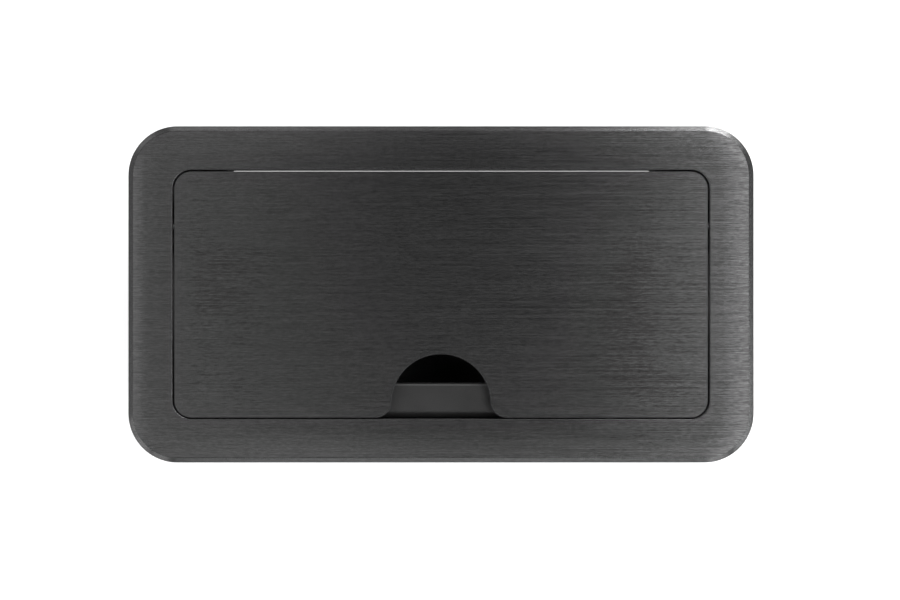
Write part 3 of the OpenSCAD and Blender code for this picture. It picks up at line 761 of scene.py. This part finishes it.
def makeRivet(grip):
    head, high, pin = rivet["headRadius"], rivet["headHeight"], rivet["mandrelRadius"]
    tail, end = rivet["tailRadius"], -grip - rivet["tailHeight"]
    rim, deep = rivet["rim"], high - rivet["mandrelDepth"]
    blind = [(0.4 * tail, end), (tail, end), (tail, -grip), (rivet["radius"], -grip)]
    crown = [(head - rivet["rimCut"], 0), (head, rim), (0.6 * head, high), (1.2 * pin, high)]
    line = [(0, end)] + roundOff(blind, rivet["tailRound"]) + [(rivet["radius"], 0)]
    line += roundOff(crown, rivet["crownRound"], steps=4) + [(pin, high - rim), (pin, deep), (0, deep)]
    return lathe(line, smallRound)


def facing(place, way):
    # puts a piece that was made along Z at a place, turned to face a way
    return Matrix.Translation(place) @ Vector(way).to_track_quat("Z", "Y").to_matrix().to_4x4()


def bothSides(places):
    return places + [onSide(-1) @ place @ onSide(-1) for place in places]


# The lugs' studs and nuts, the hinge pins and the stop pins

studLow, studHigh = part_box("lug_studs")
nutLow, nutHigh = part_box("lug_nuts")
lidHardware = {
    "studRadius": 0.0015,
    "studChamfer": 0.0002,
    "nutRadius": 0.00315,
    "nutSoftness": 0.0002,
    "pitch": 0.0005,
    "pinRadius": 0.0015,
    "pinReach": 0.0105,
    "pinHeadRadius": 0.0024,
    "pinHeadHeight": 0.001,
    "stopReach": 0.0075,
    "chamfer": 0.0003,
}


def makeLidHardware():
    radius = lidHardware["studRadius"]
    length, height = studHigh.z - studLow.z, nutHigh.z - nutLow.z
    spots = [(side * (studHigh.x - radius), y) for side in (-1, 1)
             for y in (studLow.y + radius, studHigh.y - radius)]
    studs = copies(lambda: makeRod(length, radius, lidHardware["studChamfer"], lidHardware["pitch"]),
                   [Matrix.Translation((*spot, studLow.z)) for spot in spots])
    addPiece("lugStuds", studs, zinc, "lid", ["lug_studs"])
    nuts = copies(lambda: makeHexRing(lidHardware["nutRadius"], radius, height, lidHardware["nutSoftness"]),
                  [Matrix.Translation((*spot, nutLow.z)) for spot in spots])
    addPiece("lugNuts", nuts, zinc, "lid", ["lug_nuts"])


def makePins():
    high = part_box("hinge_pins")[1]
    inner = lidHigh.x - lidHardware["pinReach"]
    length, radius, cut = high.x - inner, lidHardware["pinRadius"], lidHardware["chamfer"]
    head, thick = lidHardware["pinHeadRadius"], lidHardware["pinHeadHeight"]
    line = [(0, 0), (radius - cut, 0), (radius, cut), (radius, length - thick), (head, length - thick),
            (head, length - cut / 2), (head - cut / 2, length), (0, length)]
    spots = [Matrix.Translation((inner, hingeAxis.y, hingeAxis.z)) @ alongX]
    addPiece("hingePins", copies(lambda: lathe(line, mediumRound), bothSides(spots)), pinSteel, "housing",
             ["hinge_pins"])
    low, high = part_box("stop_pins")
    inner = lidHigh.x + bezel["sideGap"] - lidHardware["stopReach"]
    spots = [Matrix.Translation((inner, (low.y + high.y) / 2, (low.z + high.z) / 2)) @ alongX]
    addPiece("stopPins", copies(lambda: makeRod(high.x - inner, (high.z - low.z) / 2, cut), bothSides(spots)),
             blackZinc, "housing", ["stop_pins"])


makeLidHardware()
makePins()


# Tub: folded shell, end plates, lacing bar, grommets, and what fixes them

tubLow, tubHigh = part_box("tub_shell")
plateLow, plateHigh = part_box("end_plate_right")
tub = {
    "sheet": 0.0012,
    "bend": 0.0024,
    "outletLength": 0.070,
    "outletWidth": 0.044,
    "outletX": 0.062,
    "outletSteps": 16,
    "slotLength": 0.198,
    "slotWidth": 0.011,
    "slotRadius": 0.003,
    "slotEdge": 0.0012,
    "slotSteps": 8,
    "edgeRound": 0.00022,
    "flangeTop": -0.015,
    "flangeFoot": -0.0734,
    "flangeRound": 0.003,
    "ribGap": 0.0153,
    "ribWidth": 0.002,
    "ribTop": -0.040,
    "ribFoot": -0.0718,
    "ribHeight": 0.0015,
    "ribRound": 0.0006,
    "screwGap": 0.0002,
    "screwX": 0.1001,
    "screwY": 0.0419,
    "rivetX": 0.1193,
    "rivetZs": (-0.025, -0.0578),
    "barRivetX": 0.1065,
    "barRivetZ": -0.0618,
}


def shift(bm, edges, way):
    bmesh.ops.translate(bm, vec=way, verts=list({vert for edge in edges for vert in edge.verts}))


def makeTubShell():
    bm = bmesh.new()
    flat, z = tubHigh.y - tub["bend"], tubLow.z
    loopAt(bm, 2 * tubHigh.x, 2 * flat, 0, z, 1)
    width = tub["outletWidth"]
    for x in (-tub["outletX"], tub["outletX"]):
        shift(bm, loopAt(bm, tub["outletLength"], width, width / 2, z, tub["outletSteps"]), (x, 0, 0))
    slotY = flat - tub["slotEdge"] - tub["slotWidth"] / 2
    slot = loopAt(bm, tub["slotLength"], tub["slotWidth"], tub["slotRadius"], z, tub["slotSteps"])
    shift(bm, slot, (0, slotY, 0))
    fillBetween(bm)
    for side in (-1, 1):
        edges = openEdges(bm, lambda spot: spot.y * side > flat - weld)
        edges = bendEdges(bm, edges, (0, side * flat, z + tub["bend"]), xAxis, side * 90)
        extrudeEdges(bm, edges, Vector((0, 0, tubHigh.z - z - tub["bend"])))
    thicken(bm, tub["sheet"], ((0, 0, z), (0, 0, -1)))
    soften(bm, tub["edgeRound"], steeper=60)
    addPiece("tubShell", bm, powderBlack, "housing", ["tub_shell"])


def makeEndPlate(side):
    x, y = tubHigh.x, plateHigh.y
    plate = bmesh.new()
    roundFace(plate, [(x, -y, plateLow.z), (x, y, plateLow.z), (x, y, plateHigh.z), (x, -y, plateHigh.z)],
              [tub["bend"], tub["bend"], 0, 0])
    extrudeFaces(plate, (tub["sheet"], 0, 0))
    soften(plate, tub["edgeRound"], steeper=60)
    parts = [plate]
    for front in (-1, 1):
        inner = front * (tubHigh.y - 2 * tub["sheet"])
        flange = bmesh.new()
        corners = [(plateLow.x, tub["flangeFoot"]), (x, tub["flangeFoot"]), (x, tub["flangeTop"]),
                   (plateLow.x, tub["flangeTop"])]
        roundFace(flange, [(cx, inner, cz) for cx, cz in corners],
                  [tub["flangeRound"], 0, 0, tub["flangeRound"]])
        extrudeFaces(flange, (0, front * tub["sheet"], 0))
        soften(flange, tub["edgeRound"], steeper=60)
        near, far = sorted((front * tub["ribGap"], front * (tub["ribGap"] + tub["ribWidth"])))
        rib = block((x + tub["sheet"], near, tub["ribFoot"]), (plateHigh.x, far, tub["ribTop"]),
                    tub["ribRound"], segments=3)
        parts += [flange, rib]
    whole = moved(joined(parts), onSide(side))
    addSided(side, "endPlate", whole, powderBlack, "housing", "end_plate_")


grommet = {"lip": 0.003, "wall": 0.002, "lipRound": 0.0006, "fit": 0.00002, "steps": 14}


def makeGrommet(side):
    low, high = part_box("grommet_right")
    length, width = tub["outletLength"], tub["outletWidth"]
    floorTop = tubLow.z + tub["sheet"]
    lip, wall, fit = grommet["lip"], -grommet["wall"], grommet["fit"]
    under = roundOff([(wall, floorTop), (wall, low.z), (lip, low.z), (lip, tubLow.z)], grommet["lipRound"])
    over = roundOff([(lip, floorTop), (lip, high.z), (wall, high.z), (wall, floorTop)], grommet["lipRound"])
    line = under + [(-fit, tubLow.z), (-fit, floorTop)] + over[:-1]
    loops = [(length + 2 * grow, width + 2 * grow, width / 2 + grow, z) for grow, z in line]
    ring = moved(loftRing(loops, grommet["steps"]), Matrix.Translation((side * tub["outletX"], 0, 0)))
    addSided(side, "grommet", ring, rubber, "housing", "grommet_")


lacing = {
    "thickness": 0.0015,
    "footLength": 0.012,
    "notches": 9,
    "notchWidth": 0.0035,
    "notchDepth": 0.002,
    "bend": 0.0022,
    "bendSteps": 5,
}


def makeLacingBar():
    low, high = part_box("lacing_bar")
    thick, bend, steps = lacing["thickness"], lacing["bend"], lacing["bendSteps"]
    legX = high.x - lacing["footLength"] - thick
    pitch = 2 * legX / lacing["notches"]
    bm = bmesh.new()
    outerX, footY = legX + thick, high.y - thick
    moves = [
        (-outerX - bend, footY, low.z),
        ((-outerX - bend, footY - bend, low.z), zAxis, -90, steps),
        (-outerX, low.y + bend, low.z),
        ((-outerX + bend, low.y + bend, low.z), zAxis, 90, steps),
    ]
    notchSpots = [(index - (lacing["notches"] - 1) / 2) * pitch for index in range(lacing["notches"])]
    for spot in notchSpots:
        moves += [(spot + side * lacing["notchWidth"] / 2, low.y, low.z) for side in (-1, 1)]
    moves += [
        (outerX - bend, low.y, low.z),
        ((outerX - bend, low.y + bend, low.z), zAxis, 90, steps),
        (outerX, footY - bend, low.z),
        ((outerX + bend, footY - bend, low.z), zAxis, -90, steps),
        (high.x, footY, low.z),
    ]
    draw(bm, (-high.x, footY, low.z), moves)
    edges = bm.edges[:]
    cut = lacing["notchDepth"]
    for rise in (cut, high.z - low.z - 2 * cut, cut):
        edges = extrudeEdges(bm, edges, Vector((0, 0, rise)))
    notched = [face for face in bm.faces
               if any((face.calc_center_median() - Vector((spot, low.y, z))).length < cut
                      for spot in notchSpots for z in (low.z + cut / 2, high.z - cut / 2))]
    bmesh.ops.delete(bm, geom=notched, context="FACES")
    thicken(bm, thick, ((0, low.y, (low.z + high.z) / 2), (0, -1, 0)))
    soften(bm, tub["edgeRound"], segments=1, steeper=60)
    addPiece("lacingBar", bm, powderBlack, "housing", ["lacing_bar"])


def makeTubFixings():
    y, x = tubHigh.y, plateHigh.x - tub["ribHeight"]
    low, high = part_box("tub_screws")
    z = (low.z + high.z) / 2
    screws = [facing((side, front * y, z), (0, front, 0)) for front in (-1, 1)
              for side in (-tub["screwX"], 0, tub["screwX"])]
    screws += [facing((side * x, front * tub["screwY"], z), (side, 0, 0))
               for front in (-1, 1) for side in (-1, 1)]
    addPiece("tubScrews", copies(lambda: makeScrew(tub["sheet"] + tub["screwGap"]), screws), blackZinc,
             "housing", ["tub_screws"])
    corners = [facing((side * tub["rivetX"], front * y, z), (0, front, 0)) for side in (-1, 1)
               for front in (-1, 1) for z in tub["rivetZs"]]
    bars = [facing((side * tub["barRivetX"], y, tub["barRivetZ"]), (0, 1, 0)) for side in (-1, 1)]
    rivets = joined([copies(lambda: makeRivet(2 * tub["sheet"]), corners),
                     copies(lambda: makeRivet(tub["sheet"] + lacing["thickness"]), bars)])
    addPiece("blindRivets", rivets, zinc, "housing", ["rivets"])


makeTubShell()
makeEndPlate(-1)
makeEndPlate(1)
makeGrommet(-1)
makeGrommet(1)
makeLacingBar()
makeTubFixings()
print("tub made")


# Front ledge with its screws and the lid's bumpers

ledgeLow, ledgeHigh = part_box("front_ledge")
ledge = {
    "sheet": 0.0012,
    "frontBend": 0.0036,
    "rearBend": 0.0013,
    "lip": 0.005,
    "screws": 4,
    "bumperX": 0.09,
    "bumperRadius": 0.004,
    "bumperDome": 0.0009,
    "bumperEdge": 0.0005,
    "bumperLead": 0.0003,
    # where the painted highlight on the rear bend lies, how far it reaches, and its colour
    "highlightInset": 0.0009,
    "highlightReach": 0.00055,
    "highlightColour": (0.14, 0.14, 0.14),
    "softness": 0.0002,
    "frontSteps": 14,
    "rearSteps": 10,
}


def makeLedge():
    bm = bmesh.new()
    x, front, rear, top = ledgeLow.x, ledgeLow.y, ledgeHigh.y, ledgeHigh.z
    near, far = ledge["frontBend"], ledge["rearBend"]
    draw(bm, (x, front, ledgeLow.z), [
        (x, front, top - near),
        ((x, front + near, top - near), xAxis, -90, ledge["frontSteps"]),
        (x, rear - far, top),
        ((x, rear - far, top - far), xAxis, -90, ledge["rearSteps"]),
        (x, rear, top - ledge["lip"]),
    ])
    extrudeEdges(bm, bm.edges[:], Vector((ledgeHigh.x - x, 0, 0)))
    thicken(bm, ledge["sheet"], ((0, (front + rear) / 2, top), (0, 0, 1)))
    soften(bm, ledge["softness"], steeper=60)
    # paints a highlight along the rear bend of the ledge
    paintHighlightLine(powderGrey, rear - ledge["highlightInset"], ledge["highlightReach"], ledge["highlightColour"])
    addPiece("frontLedge", bm, powderGrey, "housing", ["front_ledge"])
    low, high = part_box("ledge_screws")
    pitch = (ledgeHigh.x - x) / ledge["screws"]
    spots = [facing((x + (index + 0.5) * pitch, front + ledge["sheet"], (low.z + high.z) / 2), (0, 1, 0))
             for index in range(ledge["screws"])]
    addPiece("ledgeScrews", copies(lambda: makeScrew(ledge["sheet"]), spots), blackZinc, "housing",
             ["ledge_screws"])


def makeBumpers():
    low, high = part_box("lid_bumpers")
    radius, stem = ledge["bumperRadius"], ledge["bumperRadius"] / 2
    foot, top, under = low.z - ledgeHigh.z, high.z - ledgeHigh.z, -ledge["sheet"]
    dome = [(radius, 0), (radius, ledge["bumperEdge"]), (0.8 * radius, top), (0, top)]
    line = [(0, foot), (0.6 * radius, foot), (0.7 * radius, foot + ledge["bumperLead"]),
            (stem, under), (stem, 0)] + roundOff(dome, ledge["bumperDome"], steps=5)
    y = (low.y + high.y) / 2
    spots = [Matrix.Translation((side * ledge["bumperX"], y, ledgeHigh.z)) for side in (-1, 1)]
    addPiece("lidBumpers", copies(lambda: lathe(line, mediumRound), spots), rubber, "housing",
             ["lid_bumpers"])


makeLedge()
makeBumpers()


# Clamps: bracket, pad, washer, thumb screw and nut on each side

bracketLow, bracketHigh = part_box("clamp_bracket_right")
screwAxis = Vector(jointNamed("thumb_screw_turn_right")["pos_m"])
clampDown, clampUp = jointNamed("clamp_slide_right")["range_m"]
clamp = {
    "sheet": 0.0015,
    "bend": 0.0025,
    "cornerRound": 0.0015,
    "cornerSteps": 5,
    "softness": 0.00025,
    "slotRadius": 0.0027,
    "slotSteps": 16,
    "probeDrop": 0.01,  # from the bend to a place on the flat
    "ridges": 4,
    "grooveDepth": 0.0005,
    "grooveWidth": 0.0007,
    "padSoftness": 0.0002,
    "washerCut": 0.00015,
    "nutRadius": 0.004625,
    "nutHeight": 0.004,
    "nutSoftness": 0.0003,
    "nutLead": 0.0002,
    "spigotRadius": 0.0034,
    "spigotCut": 0.0001,
    "shankRadius": 0.0025,
    "shankChamfer": 0.0004,
    "shankInHead": 0.001,
    "pitch": 0.0008,
    "flutes": 24,
    "fluteDepth": 0.0006,
}


def makeBracket(side):
    bm = bmesh.new()
    x, y, bend = bracketLow.x, bracketHigh.y, clamp["bend"]
    shoulder = bracketHigh.z - bend
    roundFace(bm, [(x, -y, bracketLow.z), (x, y, bracketLow.z), (x, y, shoulder), (x, -y, shoulder)],
              [clamp["cornerRound"], clamp["cornerRound"], 0, 0])
    bmesh.ops.delete(bm, geom=bm.faces[:], context="FACES_ONLY")
    radius = clamp["slotRadius"]
    slotTop, slotFoot = screwAxis.z - clampDown, screwAxis.z - clampUp
    draw(bm, (x, radius, slotFoot), [
        (x, radius, slotTop),
        ((x, 0, slotTop), xAxis, 180, clamp["slotSteps"]),
        (x, -radius, slotFoot),
        ((x, 0, slotFoot), xAxis, 180, clamp["slotSteps"]),
    ])
    mergeNear(bm)
    fillBetween(bm)
    edges = openEdges(bm, lambda spot: spot.z > shoulder - weld)
    edges = bendEdges(bm, edges, (x + bend, 0, shoulder), yAxis, 90)
    extrudeEdges(bm, edges, Vector((bracketHigh.x - x - bend, 0, 0)))
    tips = [vert for vert in bm.verts if vert.co.x > bracketHigh.x - weld]
    roundCorners(bm, tips, clamp["cornerRound"], clamp["cornerSteps"])
    thicken(bm, clamp["sheet"], ((x, 0.8 * y, shoulder - clamp["probeDrop"]), (-1, 0, 0)))
    soften(bm, clamp["softness"], steeper=60)
    addSided(side, "clampBracket", moved(bm, onSide(side)), powderBlack, "clamp_",
             "clamp_bracket_")


def makePad(side):
    low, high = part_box("clamp_pad_right")
    groove, deep = clamp["grooveWidth"], clamp["grooveDepth"]
    pitch = (high.x - low.x) / clamp["ridges"]
    corners = [(low.x, low.z), (high.x, low.z), (high.x, high.z)]
    for index in range(clamp["ridges"] - 1, 0, -1):
        middle = low.x + index * pitch
        corners += [(middle + groove, high.z), (middle + groove / 2, high.z - deep),
                    (middle - groove / 2, high.z - deep), (middle - groove, high.z)]
    corners += [(low.x, high.z)]
    bm = bmesh.new()
    roundFace(bm, [(cx, low.y, cz) for cx, cz in corners], [0] * len(corners))
    extrudeFaces(bm, (0, high.y - low.y, 0))
    soften(bm, clamp["padSoftness"], steeper=30)
    addSided(side, "clampPad", moved(bm, onSide(side)), rubber, "clamp_", "clamp_pad_")


def makeWasher(side):
    low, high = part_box("clamp_washer_right")
    thick, outer = high.x - low.x, (high.y - low.y) / 2
    inner, cut = clamp["slotRadius"], clamp["washerCut"]
    line = [(inner, cut), (inner + cut, 0), (outer - cut, 0), (outer, cut), (outer, thick - cut),
            (outer - cut, thick), (inner + cut, thick), (inner, thick - cut)]
    place = onSide(side) @ Matrix.Translation((low.x, 0, screwAxis.z)) @ alongX
    ring = moved(lathe(line, closed=True), place)
    addSided(side, "clampWasher", ring, zinc, "washer_", "clamp_washer_")


def makeThumbScrew(side):
    low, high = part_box("thumb_screw_right")
    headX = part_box("clamp_washer_right")[1].x
    radius, high, flutes = (high.z - low.z) / 2, high.x - headX, clamp["flutes"]
    # share of the radius, of the flutes' depth and of the height
    line = [(0.60, 0, 0.0), (0.80, 0, 0.0), (0.90, 0.3, 0.06), (1.0, 1, 0.15), (1.0, 1, 0.85),
            (0.90, 0.3, 0.94), (0.80, 0, 1.0), (0.58, 0, 1.0), (0.52, 0, 0.95), (0.30, 0, 0.94)]
    bm = bmesh.new()
    rings = []
    for size, share, height in line:
        verts = bmesh.ops.create_circle(bm, cap_ends=False, radius=size * radius,
                                        segments=6 * flutes)["verts"]
        for vert in verts:
            turn = math.atan2(vert.co.y, vert.co.x) * flutes
            vert.co *= 1 - share * clamp["fluteDepth"] / radius * max(0.0, math.cos(turn)) ** 2
        bmesh.ops.translate(bm, vec=(0, 0, height * high), verts=verts)
        rings.append(list({edge for vert in verts for edge in vert.link_edges}))
    for ring, following in zip(rings, rings[1:]):
        bmesh.ops.bridge_loops(bm, edges=ring + following)
    for ring in (rings[0], rings[-1]):
        bmesh.ops.contextual_create(bm, geom=ring)
    alignFaces(bm)
    length = headX - low.x + clamp["shankInHead"]
    shank = moved(makeRod(length, clamp["shankRadius"], clamp["shankChamfer"], clamp["pitch"]),
                  Matrix.Translation((0, 0, low.x - headX)))
    place = onSide(side) @ Matrix.Translation((headX, 0, screwAxis.z)) @ alongX
    whole = moved(joined([bm, shank]), place)
    addSided(side, "thumbScrew", whole, nickel, "screw_", "thumb_screw_")


def makeClampNut(side):
    high, hole, spigot = clamp["nutHeight"], clamp["shankRadius"], clamp["spigotRadius"]
    ring = makeHexRing(clamp["nutRadius"], hole, high, clamp["nutSoftness"])
    end, cut, lead = high + tub["sheet"], clamp["spigotCut"], clamp["nutLead"]
    collar = lathe([(hole, high), (spigot, high), (spigot, end - cut), (spigot - cut, end),
                    (hole + lead, end), (hole, end - lead)], mediumRound, closed=True)
    place = onSide(side) @ Matrix.Translation((tubHigh.x - high, 0, screwAxis.z)) @ alongX
    whole = moved(joined([ring, collar]), place)
    addSided(side, "clampNut", whole, zinc, "housing", "clamp_nut_")


for clampSide in (-1, 1):
    makeBracket(clampSide)
    makePad(clampSide)
    makeWasher(clampSide)
    makeThumbScrew(clampSide)
    makeClampNut(clampSide)
print("clamps made")


# Backdrop, lamps and camera

view = {
    "height": 1.55,
    "metresPerPixel": 0.00044717,
    "middle": (0.00403, -0.00252),
    "pixels": 900,
    "sensor": 36.0,
    "farthest": 50,
}

backdrop = {"reach": 12, "drop": 0.0002, "colour": (0.86, 0.86, 0.86), "roughness": 0.9, "glow": 0.7}


def makeFloor():
    bm = bmesh.new()
    bmesh.ops.create_grid(bm, x_segments=1, y_segments=1, size=backdrop["reach"])
    bmesh.ops.translate(bm, vec=(0, 0, cadBox[0][2] - backdrop["drop"]), verts=bm.verts[:])
    mesh = bpy.data.meshes.new("floor")
    bm.to_mesh(mesh)
    bm.free()
    floor = bpy.data.objects.new("floor", mesh)
    show(floor)
    finish, tree, shader = startFinish("paleFloor", backdrop["colour"], backdrop["roughness"])
    glow = tree.nodes.new("ShaderNodeEmission")
    rays = tree.nodes.new("ShaderNodeLightPath")
    seen = addMath(tree, "MAXIMUM", rays.outputs["Is Camera Ray"], rays.outputs["Is Glossy Ray"])
    tree.links.new(addMath(tree, "MULTIPLY", seen, backdrop["glow"]), glow.inputs["Strength"])
    add = tree.nodes.new("ShaderNodeAddShader")
    tree.links.new(shader.outputs[0], add.inputs[0])
    tree.links.new(glow.outputs[0], add.inputs[1])
    tree.links.new(add.outputs[0], tree.nodes["Material Output"].inputs["Surface"])
    mesh.materials.append(finish)


makeFloor()


# name: degrees round from the right-hand side, degrees down from straight above, distance, size, watts
lamps = {
    "rightPanel": (0, 17, 1.1, 0.3, 0.37),
    "leftRearPanel": (135, 17, 1.1, 0.3, 0.22),
    "leftFrontPanel": (225, 17, 1.1, 0.3, 0.24),
    "frontPanel": (270, 17, 1.1, 0.3, 0.23),
    "rightRearBox": (45, 30, 1.1, 0.42, 1.93),
    "rearBox": (90, 30, 1.1, 0.42, 0.4),
    "leftBox": (180, 30, 1.1, 0.42, 0.94),
    "leftFrontBox": (225, 30, 1.1, 0.42, 0.1),
    "rightFrontBox": (315, 30, 1.1, 0.42, 1.75),
    "rightRim": (351, 69, 0.6, 0.12, 0.35),
    "rightRearRim": (40, 69, 1.3, 0.26, 0.9),
    "cornerRim": (57, 69, 1.3, 0.26, 3.3),
    "cornerRearRim": (69, 69, 1.3, 0.26, 3.2),
    "rearRim": (76, 69, 1.3, 0.22, 1.6),
    "rearLeftRim": (101, 70, 1.3, 0.3, 0.3),
    "leftRearRim": (138, 69, 1.3, 0.5, 0.5),
    "leftRim": (195, 69, 1.3, 0.3, 0.6),
    "leftFrontRim": (216, 69, 1.3, 0.4, 0.85),
    "frontLeftRim": (240, 69, 1.3, 0.4, 0.66),
    "frontRim": (271, 69, 1.3, 0.5, 0.56),
    "frontRightRim": (295, 69, 1.3, 0.5, 1.35),
    "rightFrontRim": (327, 69, 1.3, 0.6, 1.95),
}


def addLamp(name, turn, tilt, distance, size, power):
    lamp = bpy.data.lights.new(name, "AREA")
    lamp.size = size
    lamp.energy = power
    holder = bpy.data.objects.new(name, lamp)
    way = Matrix.Rotation(math.radians(turn), 3, "Z") @ Matrix.Rotation(math.radians(tilt), 3, "Y") @ zAxis
    holder.location = way * distance
    holder.rotation_euler = way.to_track_quat("Z", "Y").to_euler()
    show(holder)


for lampName, settings in lamps.items():
    addLamp(lampName, *settings)

studio = {"horizon": 0.7, "fadeEnd": 0.8, "backdrop": 1.0}


def makeWorld():
    # light from all sides that fades with the height above the horizon; white where the camera sees it
    world = bpy.data.worlds.new("studio")
    world.use_nodes = True
    bpy.context.scene.world = world
    tree = world.node_tree
    rays = tree.nodes.new("ShaderNodeLightPath")
    fade = addRange(tree, alongAxis(tree, "Z", "Generated"), studio["horizon"], 0, 0, studio["fadeEnd"])
    level = addBlend(tree, fade, studio["backdrop"], rays.outputs["Is Camera Ray"])
    tree.links.new(level, tree.nodes["Background"].inputs["Strength"])
    tree.nodes["Background"].inputs["Color"].default_value = (1, 1, 1, 1)


makeWorld()

cameraData = bpy.data.cameras.new("camera")
cameraData.sensor_width = view["sensor"]
cameraData.lens = view["sensor"] * view["height"] / (view["pixels"] * view["metresPerPixel"])
cameraData.clip_end = view["farthest"]
camera = bpy.data.objects.new("camera", cameraData)
camera.location = (*view["middle"], frameHigh.z + view["height"])
show(camera)
bpy.context.scene.camera = camera
bpy.context.scene.view_settings.view_transform = "Standard"
